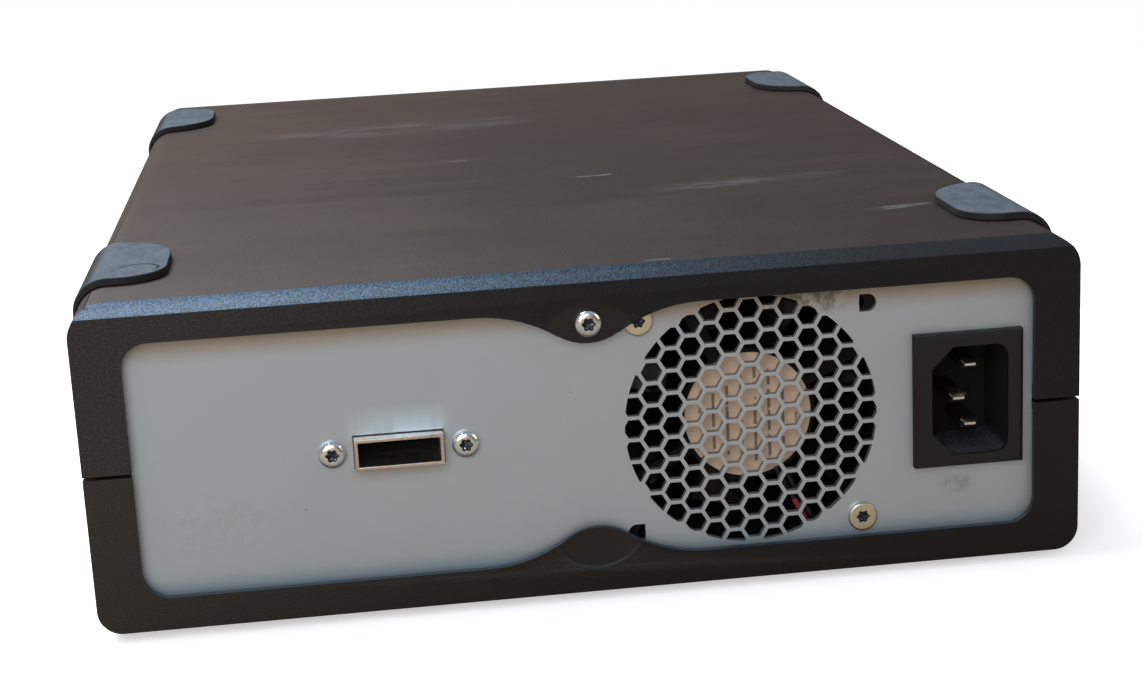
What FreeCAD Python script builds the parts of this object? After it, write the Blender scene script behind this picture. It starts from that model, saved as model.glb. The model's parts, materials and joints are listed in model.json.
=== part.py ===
import FreeCAD, Part
import math
import os
import re
import Sketcher

# Desktop data tape drive: a two-shell case round a steel chassis, with a half-height
# cartridge drive at the front and the power supply, fan and data port at the rear.
# Millimetres. +Z is up, the front faces -Y and the ported rear faces +Y. The origin is
# the middle of the footprint, on the surface that the feet stand on.

# ---------------------------------------------------------------- driving dimensions
CASE_SIZES = {
    "case_width": 223,
    "case_depth": 304,
    "shell_height": 74,
    "wall": 2.5,
    "pad_thickness": 2,
    "seam_level": 36.2,
    "seam_gap": 0.8,
    "seam_lip_width": 1.2,
    "seam_lip_height": 3,
    "top_round": 7,
    "bottom_round": 5.5,
    "bevel_run": 4.2,
    "bevel_drop": 2.4,
    "frame_thickness": 1.6,
    "panel_gap": 1.3,
    "window_margin": 10.5,
    "window_sill": 7.5,
    "window_head": 8.5,
    "window_round": 6,
    "tab_reach": 25,
    "tab_drop": 7.7,
    "tab_round": 12,
    "lens_height": 9.4,
    "lens_depth": 0.4,
    "fit_gap": 0.3,
    "pad_length": 40,
    "pad_width": 20,
    "pad_setback": 20,
    "pad_skirt": 4,
    "pad_side": 0.8,
    "glue_gap": 0.1,
    "pad_tip_round": 10,
    "pad_tail_round": 17,
    "panel_thickness": 1.5,
    "panel_foot": 12,
    "panel_corner": 1.4,
    "tray_thickness": 1.2,
    "boss_radius": 4,
    "boss_inset_x": 17,
    "boss_inset_y": 30,
    "bezel_thickness": 5,
    "bezel_lip": 6,
    "vent_height": 3,
    "vent_pitch": 5.5,
    "vent_count": 5,
    "vent_start": 4,
    "vent_length": 52,
    "bezel_edge": 1.2,
    "bezel_lip_wall": 1.5,
    "tab_screw_drop": 3.1,
    "tray_edge": 8,
    "locator_radius": 2,
    "locator_square": 1.9,
    "locator_shift": 2,
    "locator_drop": 0.5,
}
FASTENER_SIZES = {
    "screw_radius": 1.5,
    "screw_head_radius": 3.1,
    "screw_head_height": 1.7,
    "wafer_head_radius": 3.35,
    "wafer_head_height": 1.2,
    "screw_play": 0.1,
    "screw_crown": 0.8,
    "screw_length": 8,
}
FAN_SIZES = {
    "fan_offset": 36.3,
    "fan_level": 36.5,
    "fan_size": 60,
    "fan_depth": 25,
    "fan_hole_pitch": 50,
    "fan_bore_radius": 28.7,
    "fan_flange": 4,
    "fan_hub_radius": 15.5,
    "fan_hub_sink": 3.2,
    "fan_hub_plate": 2.4,
    "fan_strut": 3,
    "fan_tip_gap": 0.9,
    "fan_shaft_radius": 1.5,
    "fan_strut_count": 4,
    "strut_angle": 27.5,
    "fan_tube_radius": 4,
    "rotor_inset": 1.5,
    "rotor_floor_thickness": 1.5,
    "rotor_wall": 1,
    "rotor_gap": 0.6,
    "rotor_tube_gap": 1,
    "blade_root_chord": 9,
    "blade_tip_chord": 16,
    "blade_camber": 0.11,
    "blade_margin": 0.8,
    "blade_sink": 0.9,
    "blade_corner_room": 1.5,
    "lead_pitch": 1.5,
    "lead_path": 31.9,
    "lead_dip": 3,
    "lead_tail": 14,
    "shaft_play": 0.05,
    "blade_count": 7,
    "blade_thickness": 1.4,
    "grille_radius": 28.8,
    "cell_pitch": 5.15,
    "cell_web": 0.87,
    "lead_radius": 0.65,
    "label_thickness": 0.3,
    "label_inset": 1,
    "notch_depth": 3,
}
INLET_SIZES = {
    "inlet_offset": 86,
    "inlet_level": 37.75,
    "inlet_flange_width": 25.2,
    "inlet_flange_height": 31.2,
    "inlet_body_width": 20.2,
    "inlet_body_height": 27.6,
    "inlet_body_depth": 20,
    "inlet_mouth_width": 17.7,
    "inlet_mouth_height": 25.4,
    "inlet_mouth_depth": 17.5,
    "inlet_chamfer": 5,
    "inlet_round": 3,
    "inlet_edge": 1,
    "inlet_lead_pitch": 6,
    "inlet_lead_rise": 4,
    "pin_width": 4,
    "pin_thickness": 2,
    "pin_pitch": 14,
    "pin_recess": 4.6,
    "earth_recess": 2.2,
    "pin_tail": 8,
    "pin_shift": 1.4,
    "earth_shift": 2,
}
PORT_SIZES = {
    "port_offset": 42.9,
    "port_level": 36.5,
    "port_width": 19.7,
    "port_height": 7.1,
    "port_wall": 0.8,
    "port_depth": 27,
    "port_mouth_depth": 11,
    "port_flange_width": 38,
    "port_flange_height": 10,
    "port_flange_thickness": 1.2,
    "port_screw_pitch": 29.5,
    "port_slot_height": 2,
    "port_slot_end": 4,
    "data_cable_run": 14,
    "board_thickness": 1.6,
    "port_board_width": 34,
    "port_board_depth": 26,
}
SUPPLY_SIZES = {
    "supply_width": 56,
    "supply_length": 170,
    "supply_front": -88,
    "inlet_from_board_edge": 19,
    "fan_plug_size": 6.5,
    "inlet_block_width": 18,
    "inlet_block_depth": 10,
    "inlet_block_height": 9,
    "board_edge": 4,
    "standoff_height": 6,
    "standoff_radius": 3,
    "transformer_width": 30,
    "transformer_length": 34,
    "transformer_height": 26,
    "transformer_place": 0.45,
    "winding_share": 0.62,
    "winding_inset": 4,
    "capacitor_radius": 9,
    "capacitor_height": 30,
    "capacitor_count": 2,
    "capacitor_gap": 2,
    "capacitor_from_rear": 30,
    "capacitor_bead_level": 2.8,
    "capacitor_bead": 0.6,
    "capacitor_crown": 0.8,
    "sink_length": 44,
    "sink_inset": 2,
    "sink_setback": 10,
    "sink_height": 32,
    "sink_base": 3,
    "sink_fin": 1.2,
    "sink_fin_reach": 9,
    "sink_fin_count": 6,
    "cable_radius": 2.2,
    "power_cable_run": 22,
}
DRIVE_SIZES = {
    "drive_width": 146,
    "drive_height": 41.3,
    "drive_length": 205,
    "drive_clearance": 3,
    "drive_lift": 5.8,
    "drive_wall": 2.5,
    "drive_deck_level": 6,
    "drive_bezel_thickness": 8,
    "drive_cover_thickness": 1,
    "drive_window_gap": 1.2,
    "slot_width": 104.6,
    "slot_height": 25.2,
    "slot_level": 11.8,
    "door_thickness": 2,
    "door_recess": 2,
    "door_pin_radius": 1.2,
    "door_pin_length": 3,
    "eject_width": 14,
    "eject_height": 7,
    "eject_inset": 13,
    "eject_flange": 1,
    "eject_flange_depth": 1.2,
    "button_radius": 7,
    "button_proud": 1.3,
    "button_offset": 78,
    "button_level": 20,
    "light_radius": 1.5,
    "light_rise": 13,
    "switch_size": 12,
    "motor_radius": 22,
    "motor_height": 4.4,
    "motor_clearance": 1,
    "spindle_radius": 3,
    "spindle_y": -71.7,
    "supply_hub_radius": 17,
    "supply_hub_height": 2,
    "supply_hub_lift": 0.5,
    "tooth_height": 0.8,
    "tooth_length": 5,
    "tooth_inset": 1,
    "tooth_root_width": 1.4,
    "tooth_tip_width": 2,
    "gear_tooth_count": 24,
    "reel_radius": 32,
    "reel_hub_radius": 20,
    "reel_flange": 1,
    "reel_gap": 13.2,
    "reel_web": 3,
    "reel_x": -2,
    "reel_y": 17,
    "roller_radius": 6.5,
    "roller_rim": 1,
    "roller_height": 14,
    "post_radius": 1.5,
    "post_foot": 1.5,
    "post_head": 1.5,
    "pillar_radius": 4,
    "pillar_inset_x": 8,
    "pillar_inset_y": 10,
    "board_drop": 1,
    "head_width": 9,
    "head_length": 16,
    "head_height": 12,
    "head_lift": 4.5,
    "head_rod_radius": 1.2,
    "head_rod_pitch": 9,
    "head_rod_shift": 1.5,
    "rail_width": 3.5,
    "rail_height": 4.5,
    "rail_front": -124,
    "rail_rear": -20,
    "loader_play": 1,
    "loader_thickness": 1.5,
    "loader_front": -122,
    "loader_length": 84,
    "bridge_width": 10,
    "bridge_inset": 4,
    "cage_sheet": 1,
    "cage_width": 107,
    "cage_height": 24.5,
    "cage_front": -124,
    "cage_length": 90,
    "cage_lift": 3,
    "cage_rim": 12,
    "cage_slot_margin": 3,
    "cage_ear_length": 6,
    "cage_ear_inset": 14,
    "cage_ear_height": 4,
    "cage_ear_drop": 4,
    "cage_ear_gap": 0.1,
    "loader_travel": 16,
    "thread_rod_radius": 1.5,
    "thread_x": 65,
    "thread_level": 32,
    "thread_front": -21,
    "thread_rear": 49,
    "thread_block": 3,
    "thread_block_reach": 2.5,
    "thread_block_half": 3,
    "grabber_half": 2.6,
    "grabber_back": 3.5,
    "grabber_reach": 7,
    "grabber_hook": 2,
    "grabber_hook_length": 3,
    "grabber_length": 9,
    "head_rod_height": 20,
    "head_nose": 3,
    "slot_edge": 1,
    "eject_drop": 2.5,
    "eject_room": 5,
    "button_stem": 6,
    "button_stem_radius": 2.5,
    "button_collar": 1.5,
    "switch_depth": 7,
    "switch_board_head": 5,
    "button_travel": 2,
    "plug_width": 24,
    "plug_height": 8,
    "plug_depth": 8,
    "power_plug_inset": 20,
    "rail_x": 56.3,
    "drive_screw_level": 8,
    "drive_screw_front": -100,
    "drive_screw_rear": 10,
    "bracket_foot": 14,
    "bracket_thickness": 1.2,
    "bracket_height": 18,
    "bracket_front": -118,
    "bracket_length": 150,
}
SIZES = {
    **CASE_SIZES,
    **FASTENER_SIZES,
    **FAN_SIZES,
    **INLET_SIZES,
    **PORT_SIZES,
    **SUPPLY_SIZES,
    **DRIVE_SIZES,
}

# ------------------------------------------------ planes and centres worked out from them
PLACES = {
    "rear_face": "case_depth / 2",
    "front_face": "-case_depth / 2",
    "side_face": "case_width / 2",
    "shell_bottom": "pad_thickness",
    "shell_top": "pad_thickness + shell_height",
    "seam": "pad_thickness + seam_level",
    "inner_side": "side_face - wall",
    "inner_bottom": "shell_bottom + wall",
    "inner_top": "shell_top - wall",
    "shell_front": "front_face + bezel_thickness",
    "frame_back": "rear_face - frame_thickness",
    "panel_front": "frame_back - panel_gap",
    "panel_back": "panel_front - panel_thickness",
    "window_side": "side_face - window_margin",
    "window_bottom": "shell_bottom + window_sill",
    "window_top": "shell_top - window_head",
    "boss_x": "side_face - boss_inset_x",
    "boss_y": "case_depth / 2 - boss_inset_y",
    "hole_radius": "screw_radius + screw_play",
    "fan_x": "-fan_offset",
    "fan_z": "shell_bottom + fan_level",
    "fan_front": "panel_back - fan_depth",
    "tray_top": "fan_z - fan_size / 2 - fit_gap",
    "tray_bottom": "tray_top - tray_thickness",
    "fan_hub_face": "panel_back - fan_hub_sink",
    "fan_hub_back": "fan_hub_face - fan_hub_plate",
    "inlet_x": "-inlet_offset",
    "inlet_z": "shell_bottom + inlet_level",
    "pin_x": "inlet_x - pin_shift",
    "earth_x": "inlet_x + earth_shift",
    "port_x": "port_offset",
    "port_z": "shell_bottom + port_level",
    "supply_left": "inlet_x - inlet_from_board_edge",
    "supply_right": "supply_left + supply_width",
    "supply_rear": "supply_front + supply_length",
    "fan_plug_x": "supply_right - 5",
    "mains_lead_z": "supply_top + inlet_lead_rise",
    "supply_bottom": "tray_top + standoff_height",
    "supply_top": "supply_bottom + board_thickness",
    "drive_x": "inner_side - drive_clearance - drive_width / 2",
    "drive_left": "drive_x - drive_width / 2",
    "drive_right": "drive_x + drive_width / 2",
    "drive_bottom": "tray_top + drive_lift",
    "drive_top": "drive_bottom + drive_height",
    "drive_front": "front_face + drive_bezel_thickness",
    "drive_rear": "front_face + drive_length",
    "deck_bottom": "drive_bottom + drive_deck_level",
    "deck_top": "deck_bottom + drive_wall",
    "cover_bottom": "drive_top - drive_cover_thickness",
    "slot_bottom": "drive_bottom + slot_level",
    "slot_top": "slot_bottom + slot_height",
    "door_front": "front_face + door_recess",
    "hinge_y": "door_front + door_thickness / 2",
    "hinge_z": "slot_top - 1.6",
    "eject_right": "drive_right - eject_inset",
    "eject_left": "eject_right - eject_width",
    "eject_top": "slot_bottom - eject_drop",
    "eject_bottom": "eject_top - eject_height",
    "button_x": "-button_offset",
    "button_z": "shell_bottom + button_level",
    "cage_bottom": "deck_top + cage_lift",
    "cage_top": "cage_bottom + cage_height",
    "reel_centre_x": "drive_x + reel_x",
    "reel_bottom": "deck_top + 0.7",
    "roller_bottom": "deck_top + 1.2",
    "head_x": "drive_x + 43",
    "rotor_front": "fan_front + rotor_inset",
    "rotor_floor": "rotor_front + rotor_floor_thickness",
    "rotor_rear": "fan_hub_back - rotor_gap",
    "blade_front": "rotor_front + blade_margin",
    "blade_rear": "rotor_rear - blade_margin",
    "blade_root_reach": "fan_hub_radius - blade_sink",
    "blade_tip_reach": "fan_bore_radius - fan_tip_gap - blade_corner_room",
    "tube_front": "rotor_floor + rotor_tube_gap",
    "shaft_end": "fan_hub_face - rotor_gap",
    "lead_angle": "-90 - strut_angle",
    "data_plug_x": "drive_x + 20",
    "data_plug_z": "drive_bottom + 25",
    "power_plug_z": "drive_bottom + 25",
    "head_y": "20",
    "power_plug_x": "drive_left + power_plug_inset",
    "main_board_bottom": "drive_bottom + board_drop",
    "main_board_top": "main_board_bottom + board_thickness",
    "hub_bottom": "deck_top + supply_hub_lift",
    "hub_top": "hub_bottom + supply_hub_height",
    "tooth_reach": "supply_hub_radius - tooth_inset",
    "thread_centre_x": "drive_x + thread_x",
    "thread_z": "drive_bottom + thread_level",
}

# --------------------------------------------- spots that more than one sub-part shares
SHELL_SCREW = ("0", "window_top - tab_screw_drop")
FAN_CENTRE = ("fan_x", "fan_z")
FAN_SCREWS = (
    ("fan_x + fan_hole_pitch / 2", "fan_z + fan_hole_pitch / 2"),
    ("fan_x - fan_hole_pitch / 2", "fan_z - fan_hole_pitch / 2"),
)
PORT_SCREWS = (
    ("port_x - port_screw_pitch / 2", "port_z"),
    ("port_x + port_screw_pitch / 2", "port_z"),
)
TRAY_SCREWS = tuple((f"{x}boss_x", f"{y}boss_y") for x in ("", "-") for y in ("", "-"))
SUPPLY_POSTS = tuple(
    (x, y)
    for x in ("supply_left + 2 * standoff_radius", "supply_right - 2 * standoff_radius")
    for y in ("supply_front + 2 * standoff_radius", "supply_rear - 2 * standoff_radius")
)
DRIVE_SCREWS = tuple(
    (y, "drive_bottom + drive_screw_level") for y in ("drive_screw_front", "drive_screw_rear")
)
# Each pin's place and how far its tip stays inside the mouth; the earth pin meets first.
INLET_PINS = (
    ("pin_x", "inlet_z + pin_pitch / 2", "pin_recess"),
    ("pin_x", "inlet_z - pin_pitch / 2", "pin_recess"),
    ("earth_x", "inlet_z", "earth_recess"),
)
EJECT_X = ("eject_left", "eject_right")
EJECT_Z = ("eject_bottom", "eject_top")
SPINDLE = ("drive_x", "spindle_y")
REEL = ("reel_centre_x", "reel_y")
HEAD_RODS = tuple(
    ("head_x - head_rod_shift", f"head_y {sign} head_rod_pitch / 2") for sign in ("-", "+")
)
# The tape's way round the deck: each roller's place from the drive's middle, then along Y.
ROLLERS = (("62", "-9"), ("56", "6"), ("56", "34"), ("42.5", "41.5"))

doc = FreeCAD.newDocument("TapeDrive")
sheet = doc.addObject("Spreadsheet::Sheet", "Sizes")
for row, (alias, size) in enumerate(SIZES.items(), start=1):
    sheet.set(f"A{row}", alias)
    sheet.set(f"B{row}", str(size))
    sheet.setAlias(f"B{row}", alias)
doc.recompute()

nodes = []
WORD = re.compile(r"[A-Za-z_][A-Za-z_0-9]*")
AXIS_TURNS = {
    "x": FreeCAD.Rotation(FreeCAD.Vector(0, 1, 0), 90),
    "y": FreeCAD.Rotation(FreeCAD.Vector(1, 0, 0), -90),
    "z": FreeCAD.Rotation(),
}
PLANES = {"x": "YZ_Plane", "y": "XZ_Plane", "z": "XY_Plane"}
UPRIGHT = FreeCAD.Rotation(FreeCAD.Vector(1, 0, 0), 90)
STRUT_TURN = FreeCAD.Rotation(FreeCAD.Vector(0, 1, 0), FAN_SIZES["strut_angle"])
LEAD_TURN = FreeCAD.Rotation(FreeCAD.Vector(0, 1, 0), FAN_SIZES["strut_angle"] - 90)


# ------------------------------------------------------------------ formulas and binding
def formula(text):
    """Write a formula out in the sheet's own cells."""

    def swap(match):
        word = match.group(0)
        if word in PLACES:
            return "(" + formula(PLACES[word]) + ")"
        if word in SIZES:
            return "Sizes." + word
        return word

    return WORD.sub(swap, str(text))


def size(text):
    """The number that a formula comes to."""
    plain = formula(text).replace("Sizes.", "")
    return float(sheet.evalExpression(plain))


def bind(item, prop, text):
    item.setExpression(prop, formula(text))


def place(item, x, y, z, turn=None):
    item.Placement = FreeCAD.Placement(FreeCAD.Vector(), turn or FreeCAD.Rotation())
    for axis, text in (("x", x), ("y", y), ("z", z)):
        bind(item, f"Placement.Base.{axis}", text)


def node(item, label):
    """Name a finished sub-part and list it for writing."""
    item.Label = label
    nodes.append(item)
    return item


# ----------------------------------------------------------------- primitives and booleans
def box(x, y, z):
    """A box between two formulas along each axis."""
    item = doc.addObject("Part::Box", "Block")
    for prop, (low, high) in (("Length", x), ("Width", y), ("Height", z)):
        bind(item, prop, f"({high}) - ({low})")
    place(item, x[0], y[0], z[0])
    return item


def cylinder(along, centre, radius, span):
    """A cylinder along one axis; centre gives the other two coordinates in order."""
    item = doc.addObject("Part::Cylinder", "Round")
    bind(item, "Radius", radius)
    bind(item, "Height", f"({span[1]}) - ({span[0]})")
    first, second = centre
    spots = {"x": (span[0], first, second), "y": (first, span[0], second), "z": (first, second, span[0])}
    place(item, *spots[along], AXIS_TURNS[along])
    return item


def cone(along, centre, radii, span):
    """A truncated cone along one axis, from radii[0] at span[0] to radii[1] at span[1]."""
    item = doc.addObject("Part::Cone", "Taper")
    bind(item, "Radius1", radii[0])
    bind(item, "Radius2", radii[1])
    bind(item, "Height", f"({span[1]}) - ({span[0]})")
    first, second = centre
    spots = {"x": (span[0], first, second), "y": (first, span[0], second), "z": (first, second, span[0])}
    place(item, *spots[along], AXIS_TURNS[along])
    return item


def fuse(*shapes):
    item = doc.addObject("Part::MultiFuse", "Union")
    item.Shapes = list(shapes)
    item.Refine = True
    return item


def group(*shapes):
    item = doc.addObject("Part::Compound", "Group")
    item.Links = list(shapes)
    return item


def cut(base, *tools):
    item = doc.addObject("Part::Cut", "Cut")
    item.Base = base
    item.Tool = tools[0] if len(tools) == 1 else fuse(*tools)
    item.Refine = True
    return item


def common(*shapes):
    item = doc.addObject("Part::MultiCommon", "Shared")
    item.Shapes = list(shapes)
    return item


def fixed_shape(shape, name="Form"):
    """A form that no feature makes, built with Part's functions from the sheet's sizes."""
    item = doc.addObject("Part::Feature", name)
    item.Shape = shape
    item.Placement = FreeCAD.Placement()
    return item


# ------------------------------------------------------------------- bodies and sketches
def new_body(label):
    """A body that is a sub-part by itself."""
    return node(doc.addObject("PartDesign::Body", label), label)


def blank_body(name):
    """A body that later cuts or unions turn into a sub-part."""
    return doc.addObject("PartDesign::Body", name)


def sketch_on(body, across, level):
    """A sketch square to one axis, at a level along it."""
    sketch = body.newObject("Sketcher::SketchObject", "Outline")
    plane = [item for item in body.Origin.OriginFeatures if item.Role == PLANES[across]][0]
    sketch.AttachmentSupport = (plane, [""])
    sketch.MapMode = "FlatFace"
    sign = "-" if across == "y" else ""
    bind(sketch, ".AttachmentOffset.Base.z", f"{sign}({level})")
    return sketch


def polygon(sketch, points):
    """A closed run of straight lines through formula points, each point dimensioned."""
    spots = [FreeCAD.Vector(size(first), size(second), 0) for first, second in points]
    start = sketch.GeometryCount
    count = len(points)
    for index in range(count):
        line = Part.LineSegment(spots[index], spots[(index + 1) % count])
        sketch.addGeometry(line, False)
    for index in range(count):
        following = start + (index + 1) % count
        sketch.addConstraint(Sketcher.Constraint("Coincident", start + index, 2, following, 1))
    for index, (first, second) in enumerate(points):
        for kind, text in (("DistanceX", first), ("DistanceY", second)):
            dimension = Sketcher.Constraint(kind, -1, 1, start + index, 1, size(text))
            number = sketch.addConstraint(dimension)
            bind(sketch, f"Constraints[{number}]", text)


def rectangle(sketch, first, second):
    """A rectangle between two formulas each way."""
    left, right = first
    low, high = second
    polygon(sketch, [(left, low), (right, low), (right, high), (left, high)])


def circle(sketch, first, second, radius):
    centre = FreeCAD.Vector(size(first), size(second), 0)
    ring = sketch.addGeometry(Part.Circle(centre, FreeCAD.Vector(0, 0, 1), size(radius)), False)
    for kind, text in (("DistanceX", first), ("DistanceY", second)):
        number = sketch.addConstraint(Sketcher.Constraint(kind, -1, 1, ring, 3, size(text)))
        bind(sketch, f"Constraints[{number}]", text)
    number = sketch.addConstraint(Sketcher.Constraint("Radius", ring, size(radius)))
    bind(sketch, f"Constraints[{number}]", radius)


def extrude(body, sketch, across, length, kind="PartDesign::Pad"):
    """Pad or pocket a sketch towards the positive end of the axis that it is square to."""
    feature = body.newObject(kind, "Feature")
    feature.Profile = sketch
    bind(feature, "Length", length)
    pad = kind == "PartDesign::Pad"
    feature.Reversed = (across == "y") == pad
    sketch.Visibility = False
    doc.recompute()
    return feature


def pad_box(body, x, y, z):
    """A block added to a body, sketched from above."""
    sketch = sketch_on(body, "z", z[0])
    rectangle(sketch, x, y)
    return extrude(body, sketch, "z", f"({z[1]}) - ({z[0]})")


def pocket(body, across, level, length, draw):
    """Cut what draw puts on the sketch, and make sure that it removed something."""
    before = body.Shape.Volume
    sketch = sketch_on(body, across, level)
    draw(sketch)
    feature = extrude(body, sketch, across, length, "PartDesign::Pocket")
    if body.Shape.Volume >= before:
        raise RuntimeError(f"a pocket in {body.Label} removed nothing")
    return feature


def soften(body, radius, wanted, kind="PartDesign::Fillet"):
    """Round or chamfer the edges of the body that a test picks."""
    doc.recompute()
    tip = body.Tip
    names = [f"Edge{number}" for number, edge in enumerate(tip.Shape.Edges, start=1) if wanted(edge)]
    if not names:
        raise RuntimeError(f"no edge of {body.Label} to soften")
    feature = body.newObject(kind, "Soften")
    feature.Base = (tip, names)
    bind(feature, "Radius" if kind.endswith("Fillet") else "Size", radius)
    doc.recompute()
    return feature


def edge_along(axis, **limits):
    """A test for straight edges along an axis whose middle lies at given coordinates."""

    def test(edge):
        if not isinstance(edge.Curve, Part.Line):
            return False
        run = edge.Vertexes[-1].Point - edge.Vertexes[0].Point
        if abs(getattr(run, axis)) < 0.999 * edge.Length:
            return False
        middle = edge.CenterOfMass
        return all(
            any(abs(getattr(middle, name) - size(level)) < 0.05 for level in levels)
            for name, levels in limits.items()
        )

    return test


PAN_HEAD = ("screw_head_radius", "screw_head_height")
WAFER_HEAD = ("wafer_head_radius", "wafer_head_height")


def screw(along, centre, seat, direction, head=PAN_HEAD, length="screw_length"):
    """A screw whose tapered head stands on a seat and whose shank goes the other way."""
    radius, height = head
    if direction > 0:
        crown = (seat, f"{seat} + {height}")
        shank = (f"{seat} - ({length})", seat)
        radii = (radius, f"screw_crown * {radius}")
    else:
        crown = (f"{seat} - {height}", seat)
        shank = (seat, f"{seat} + ({length})")
        radii = (f"screw_crown * {radius}", radius)
    return fuse(cone(along, centre, radii, crown), cylinder(along, centre, "screw_radius", shank))


def cable(points, radius):
    """A round lead through formula points, straight runs joined by tangent arcs."""
    spots = [FreeCAD.Vector(*[size(text) for text in point]) for point in points]
    edges = []
    start = spots[0]
    for before, corner, after in zip(spots, spots[1:], spots[2:]):
        back = before - corner
        ahead = after - corner
        half = (math.pi - back.getAngle(ahead)) / 2
        trim = 0.45 * min(back.Length, ahead.Length)
        bend = trim / math.tan(half)
        back.normalize()
        ahead.normalize()
        first = corner + back * trim
        last = corner + ahead * trim
        inward = (back + ahead).normalize()
        middle = corner + inward * (bend / math.cos(half) - bend)
        edges.append(Part.LineSegment(start, first).toShape())
        edges.append(Part.Arc(first, middle, last).toShape())
        start = last
    edges.append(Part.LineSegment(start, spots[-1]).toShape())
    spine = Part.Wire(edges)
    along = spots[1] - spots[0]
    profile = Part.Wire(Part.Circle(spots[0], along, size(radius)).toShape())
    tube = spine.makePipe(Part.Face(profile))
    return tube if tube.ShapeType == "Solid" else tube.Solids[0]


# ------------------------------------------------------------------------------ the case
def draw_tab(sketch, straight, peak, reach, nose):
    """The tab's outline: two hollow arcs run from the frame's straight edge into a round nose.

    Two circles that touch, one tangent to the edge at the tab's reach and one at the
    nose, have radii that sum to (reach^2 + drop^2) / (2 drop).
    """
    edge = size(straight)
    tip = size(peak)
    span = size(reach)
    nose_radius = size(nose)
    way = 1 if tip > edge else -1
    drop = abs(tip - edge)
    total = (span * span + drop * drop) / (2 * drop)
    hollow = total - nose_radius
    share = nose_radius / total
    join_x = span * share
    join_z = tip - way * (nose_radius - nose_radius * (total - drop) / total)
    ends = [FreeCAD.Vector(side * span, edge, 0) for side in (-1, 1)]
    joins = [FreeCAD.Vector(side * join_x, join_z, 0) for side in (-1, 1)]
    middle = FreeCAD.Vector(0, tip, 0)
    half_turn = math.atan2(span, total - drop) / 2
    waist_x = span - hollow * math.sin(half_turn)
    waist_z = edge + way * hollow * (1 - math.cos(half_turn))
    waists = [FreeCAD.Vector(side * waist_x, waist_z, 0) for side in (-1, 1)]
    sketch.addGeometry(Part.Arc(ends[0], waists[0], joins[0]), False)
    sketch.addGeometry(Part.Arc(joins[0], middle, joins[1]), False)
    sketch.addGeometry(Part.Arc(joins[1], waists[1], ends[1]), False)
    sketch.addGeometry(Part.LineSegment(ends[1], ends[0]), False)


def lens_recess(low, high):
    """The shape shared by two circles of the tab's own radius, sunk into the frame's face."""
    span = ("rear_face - lens_depth", "rear_face + 1")
    return common(
        cylinder("y", ("0", f"{low} + tab_round"), "tab_round", span),
        cylinder("y", ("0", f"{high} - tab_round"), "tab_round", span),
    )


def shell_body(name, low, high, round_level, round_radius):
    """Half of the case: a trough along Y, closed at the rear by the frame round the window."""
    body = blank_body(name)
    pad_box(body, ("-side_face", "side_face"), ("shell_front", "rear_face"), (low, high))
    soften(body, round_radius, edge_along("y", z=[round_level]))
    return body


def hollow_out(body, z, level, radius):
    """Clear the trough's inside up to the rear frame, and round its long inner corners."""
    pocket(
        body, "y", "shell_front", "frame_back - shell_front",
        lambda sketch: rectangle(sketch, ("-inner_side", "inner_side"), z),
    )
    soften(body, radius, edge_along("y", z=[level]))


def open_window(body, z, level):
    """Open this shell's half of the window in the rear frame and round its two corners."""
    pocket(
        body, "y", "frame_back", "frame_thickness",
        lambda sketch: rectangle(sketch, ("-window_side", "window_side"), z),
    )
    soften(body, "window_round", edge_along("y", x=["window_side", "-window_side"], z=[level]))


def make_upper_shell():
    body = shell_body("UpperTrough", "seam + seam_gap / 2", "shell_top", "shell_top", "top_round")
    hollow_out(body, ("seam + seam_gap / 2", "inner_top"), "inner_top", "top_round - wall")
    open_window(body, ("seam + seam_gap / 2", "window_top"), "window_top")
    pocket(
        body, "x", "-side_face", "case_width",
        lambda sketch: polygon(
            sketch,
            [
                ("rear_face - bevel_run", "shell_top"),
                ("rear_face", "shell_top - bevel_drop"),
                ("rear_face", "shell_top"),
            ],
        ),
    )
    sketch = sketch_on(body, "y", "frame_back")
    draw_tab(sketch, "window_top", "window_top - tab_drop", "tab_reach", "tab_round")
    extrude(body, sketch, "y", "frame_thickness")
    recess = lens_recess("window_top - tab_drop", "window_top - tab_drop + lens_height")
    hole = cylinder("y", SHELL_SCREW, "hole_radius", ("frame_back - 1", "rear_face + 1"))
    node(cut(body, recess, hole), "upper_shell")


def make_lower_shell():
    body = shell_body("LowerTrough", "shell_bottom", "seam - seam_gap / 2", "shell_bottom", "bottom_round")
    hollow_out(body, ("inner_bottom", "seam - seam_gap / 2"), "inner_bottom", "bottom_round - wall")
    open_window(body, ("window_bottom", "seam - seam_gap / 2"), "window_bottom")
    sketch = sketch_on(body, "y", "frame_back")
    draw_tab(sketch, "window_bottom", "window_bottom + tab_drop", "tab_reach", "tab_round")
    extrude(body, sketch, "y", "frame_thickness")
    for sign in ("", "-"):
        lip = sketch_on(body, "y", "shell_front + bezel_lip + fit_gap")
        outer = f"{sign}inner_side"
        gap = f"{sign}(inner_side - fit_gap)"
        inner = f"{sign}(inner_side - fit_gap - seam_lip_width)"
        polygon(
            lip,
            [
                (outer, "seam - seam_lip_height - 2"),
                (outer, "seam - seam_gap / 2"),
                (gap, "seam - seam_gap / 2"),
                (gap, "seam + seam_lip_height"),
                (inner, "seam + seam_lip_height"),
                (inner, "seam - seam_lip_height"),
            ],
        )
        extrude(body, lip, "y", "panel_back - shell_front - bezel_lip - 2 * fit_gap")
    for sign_x in ("", "-"):
        for sign_y in ("", "-"):
            boss = sketch_on(body, "z", "inner_bottom")
            circle(boss, f"{sign_x}boss_x", f"{sign_y}boss_y", "boss_radius")
            circle(boss, f"{sign_x}boss_x", f"{sign_y}boss_y", "hole_radius")
            extrude(body, boss, "z", "tray_bottom - inner_bottom")
    recess = lens_recess("window_bottom + tab_drop - lens_height", "window_bottom + tab_drop")
    node(cut(body, recess), "lower_shell")


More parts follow.
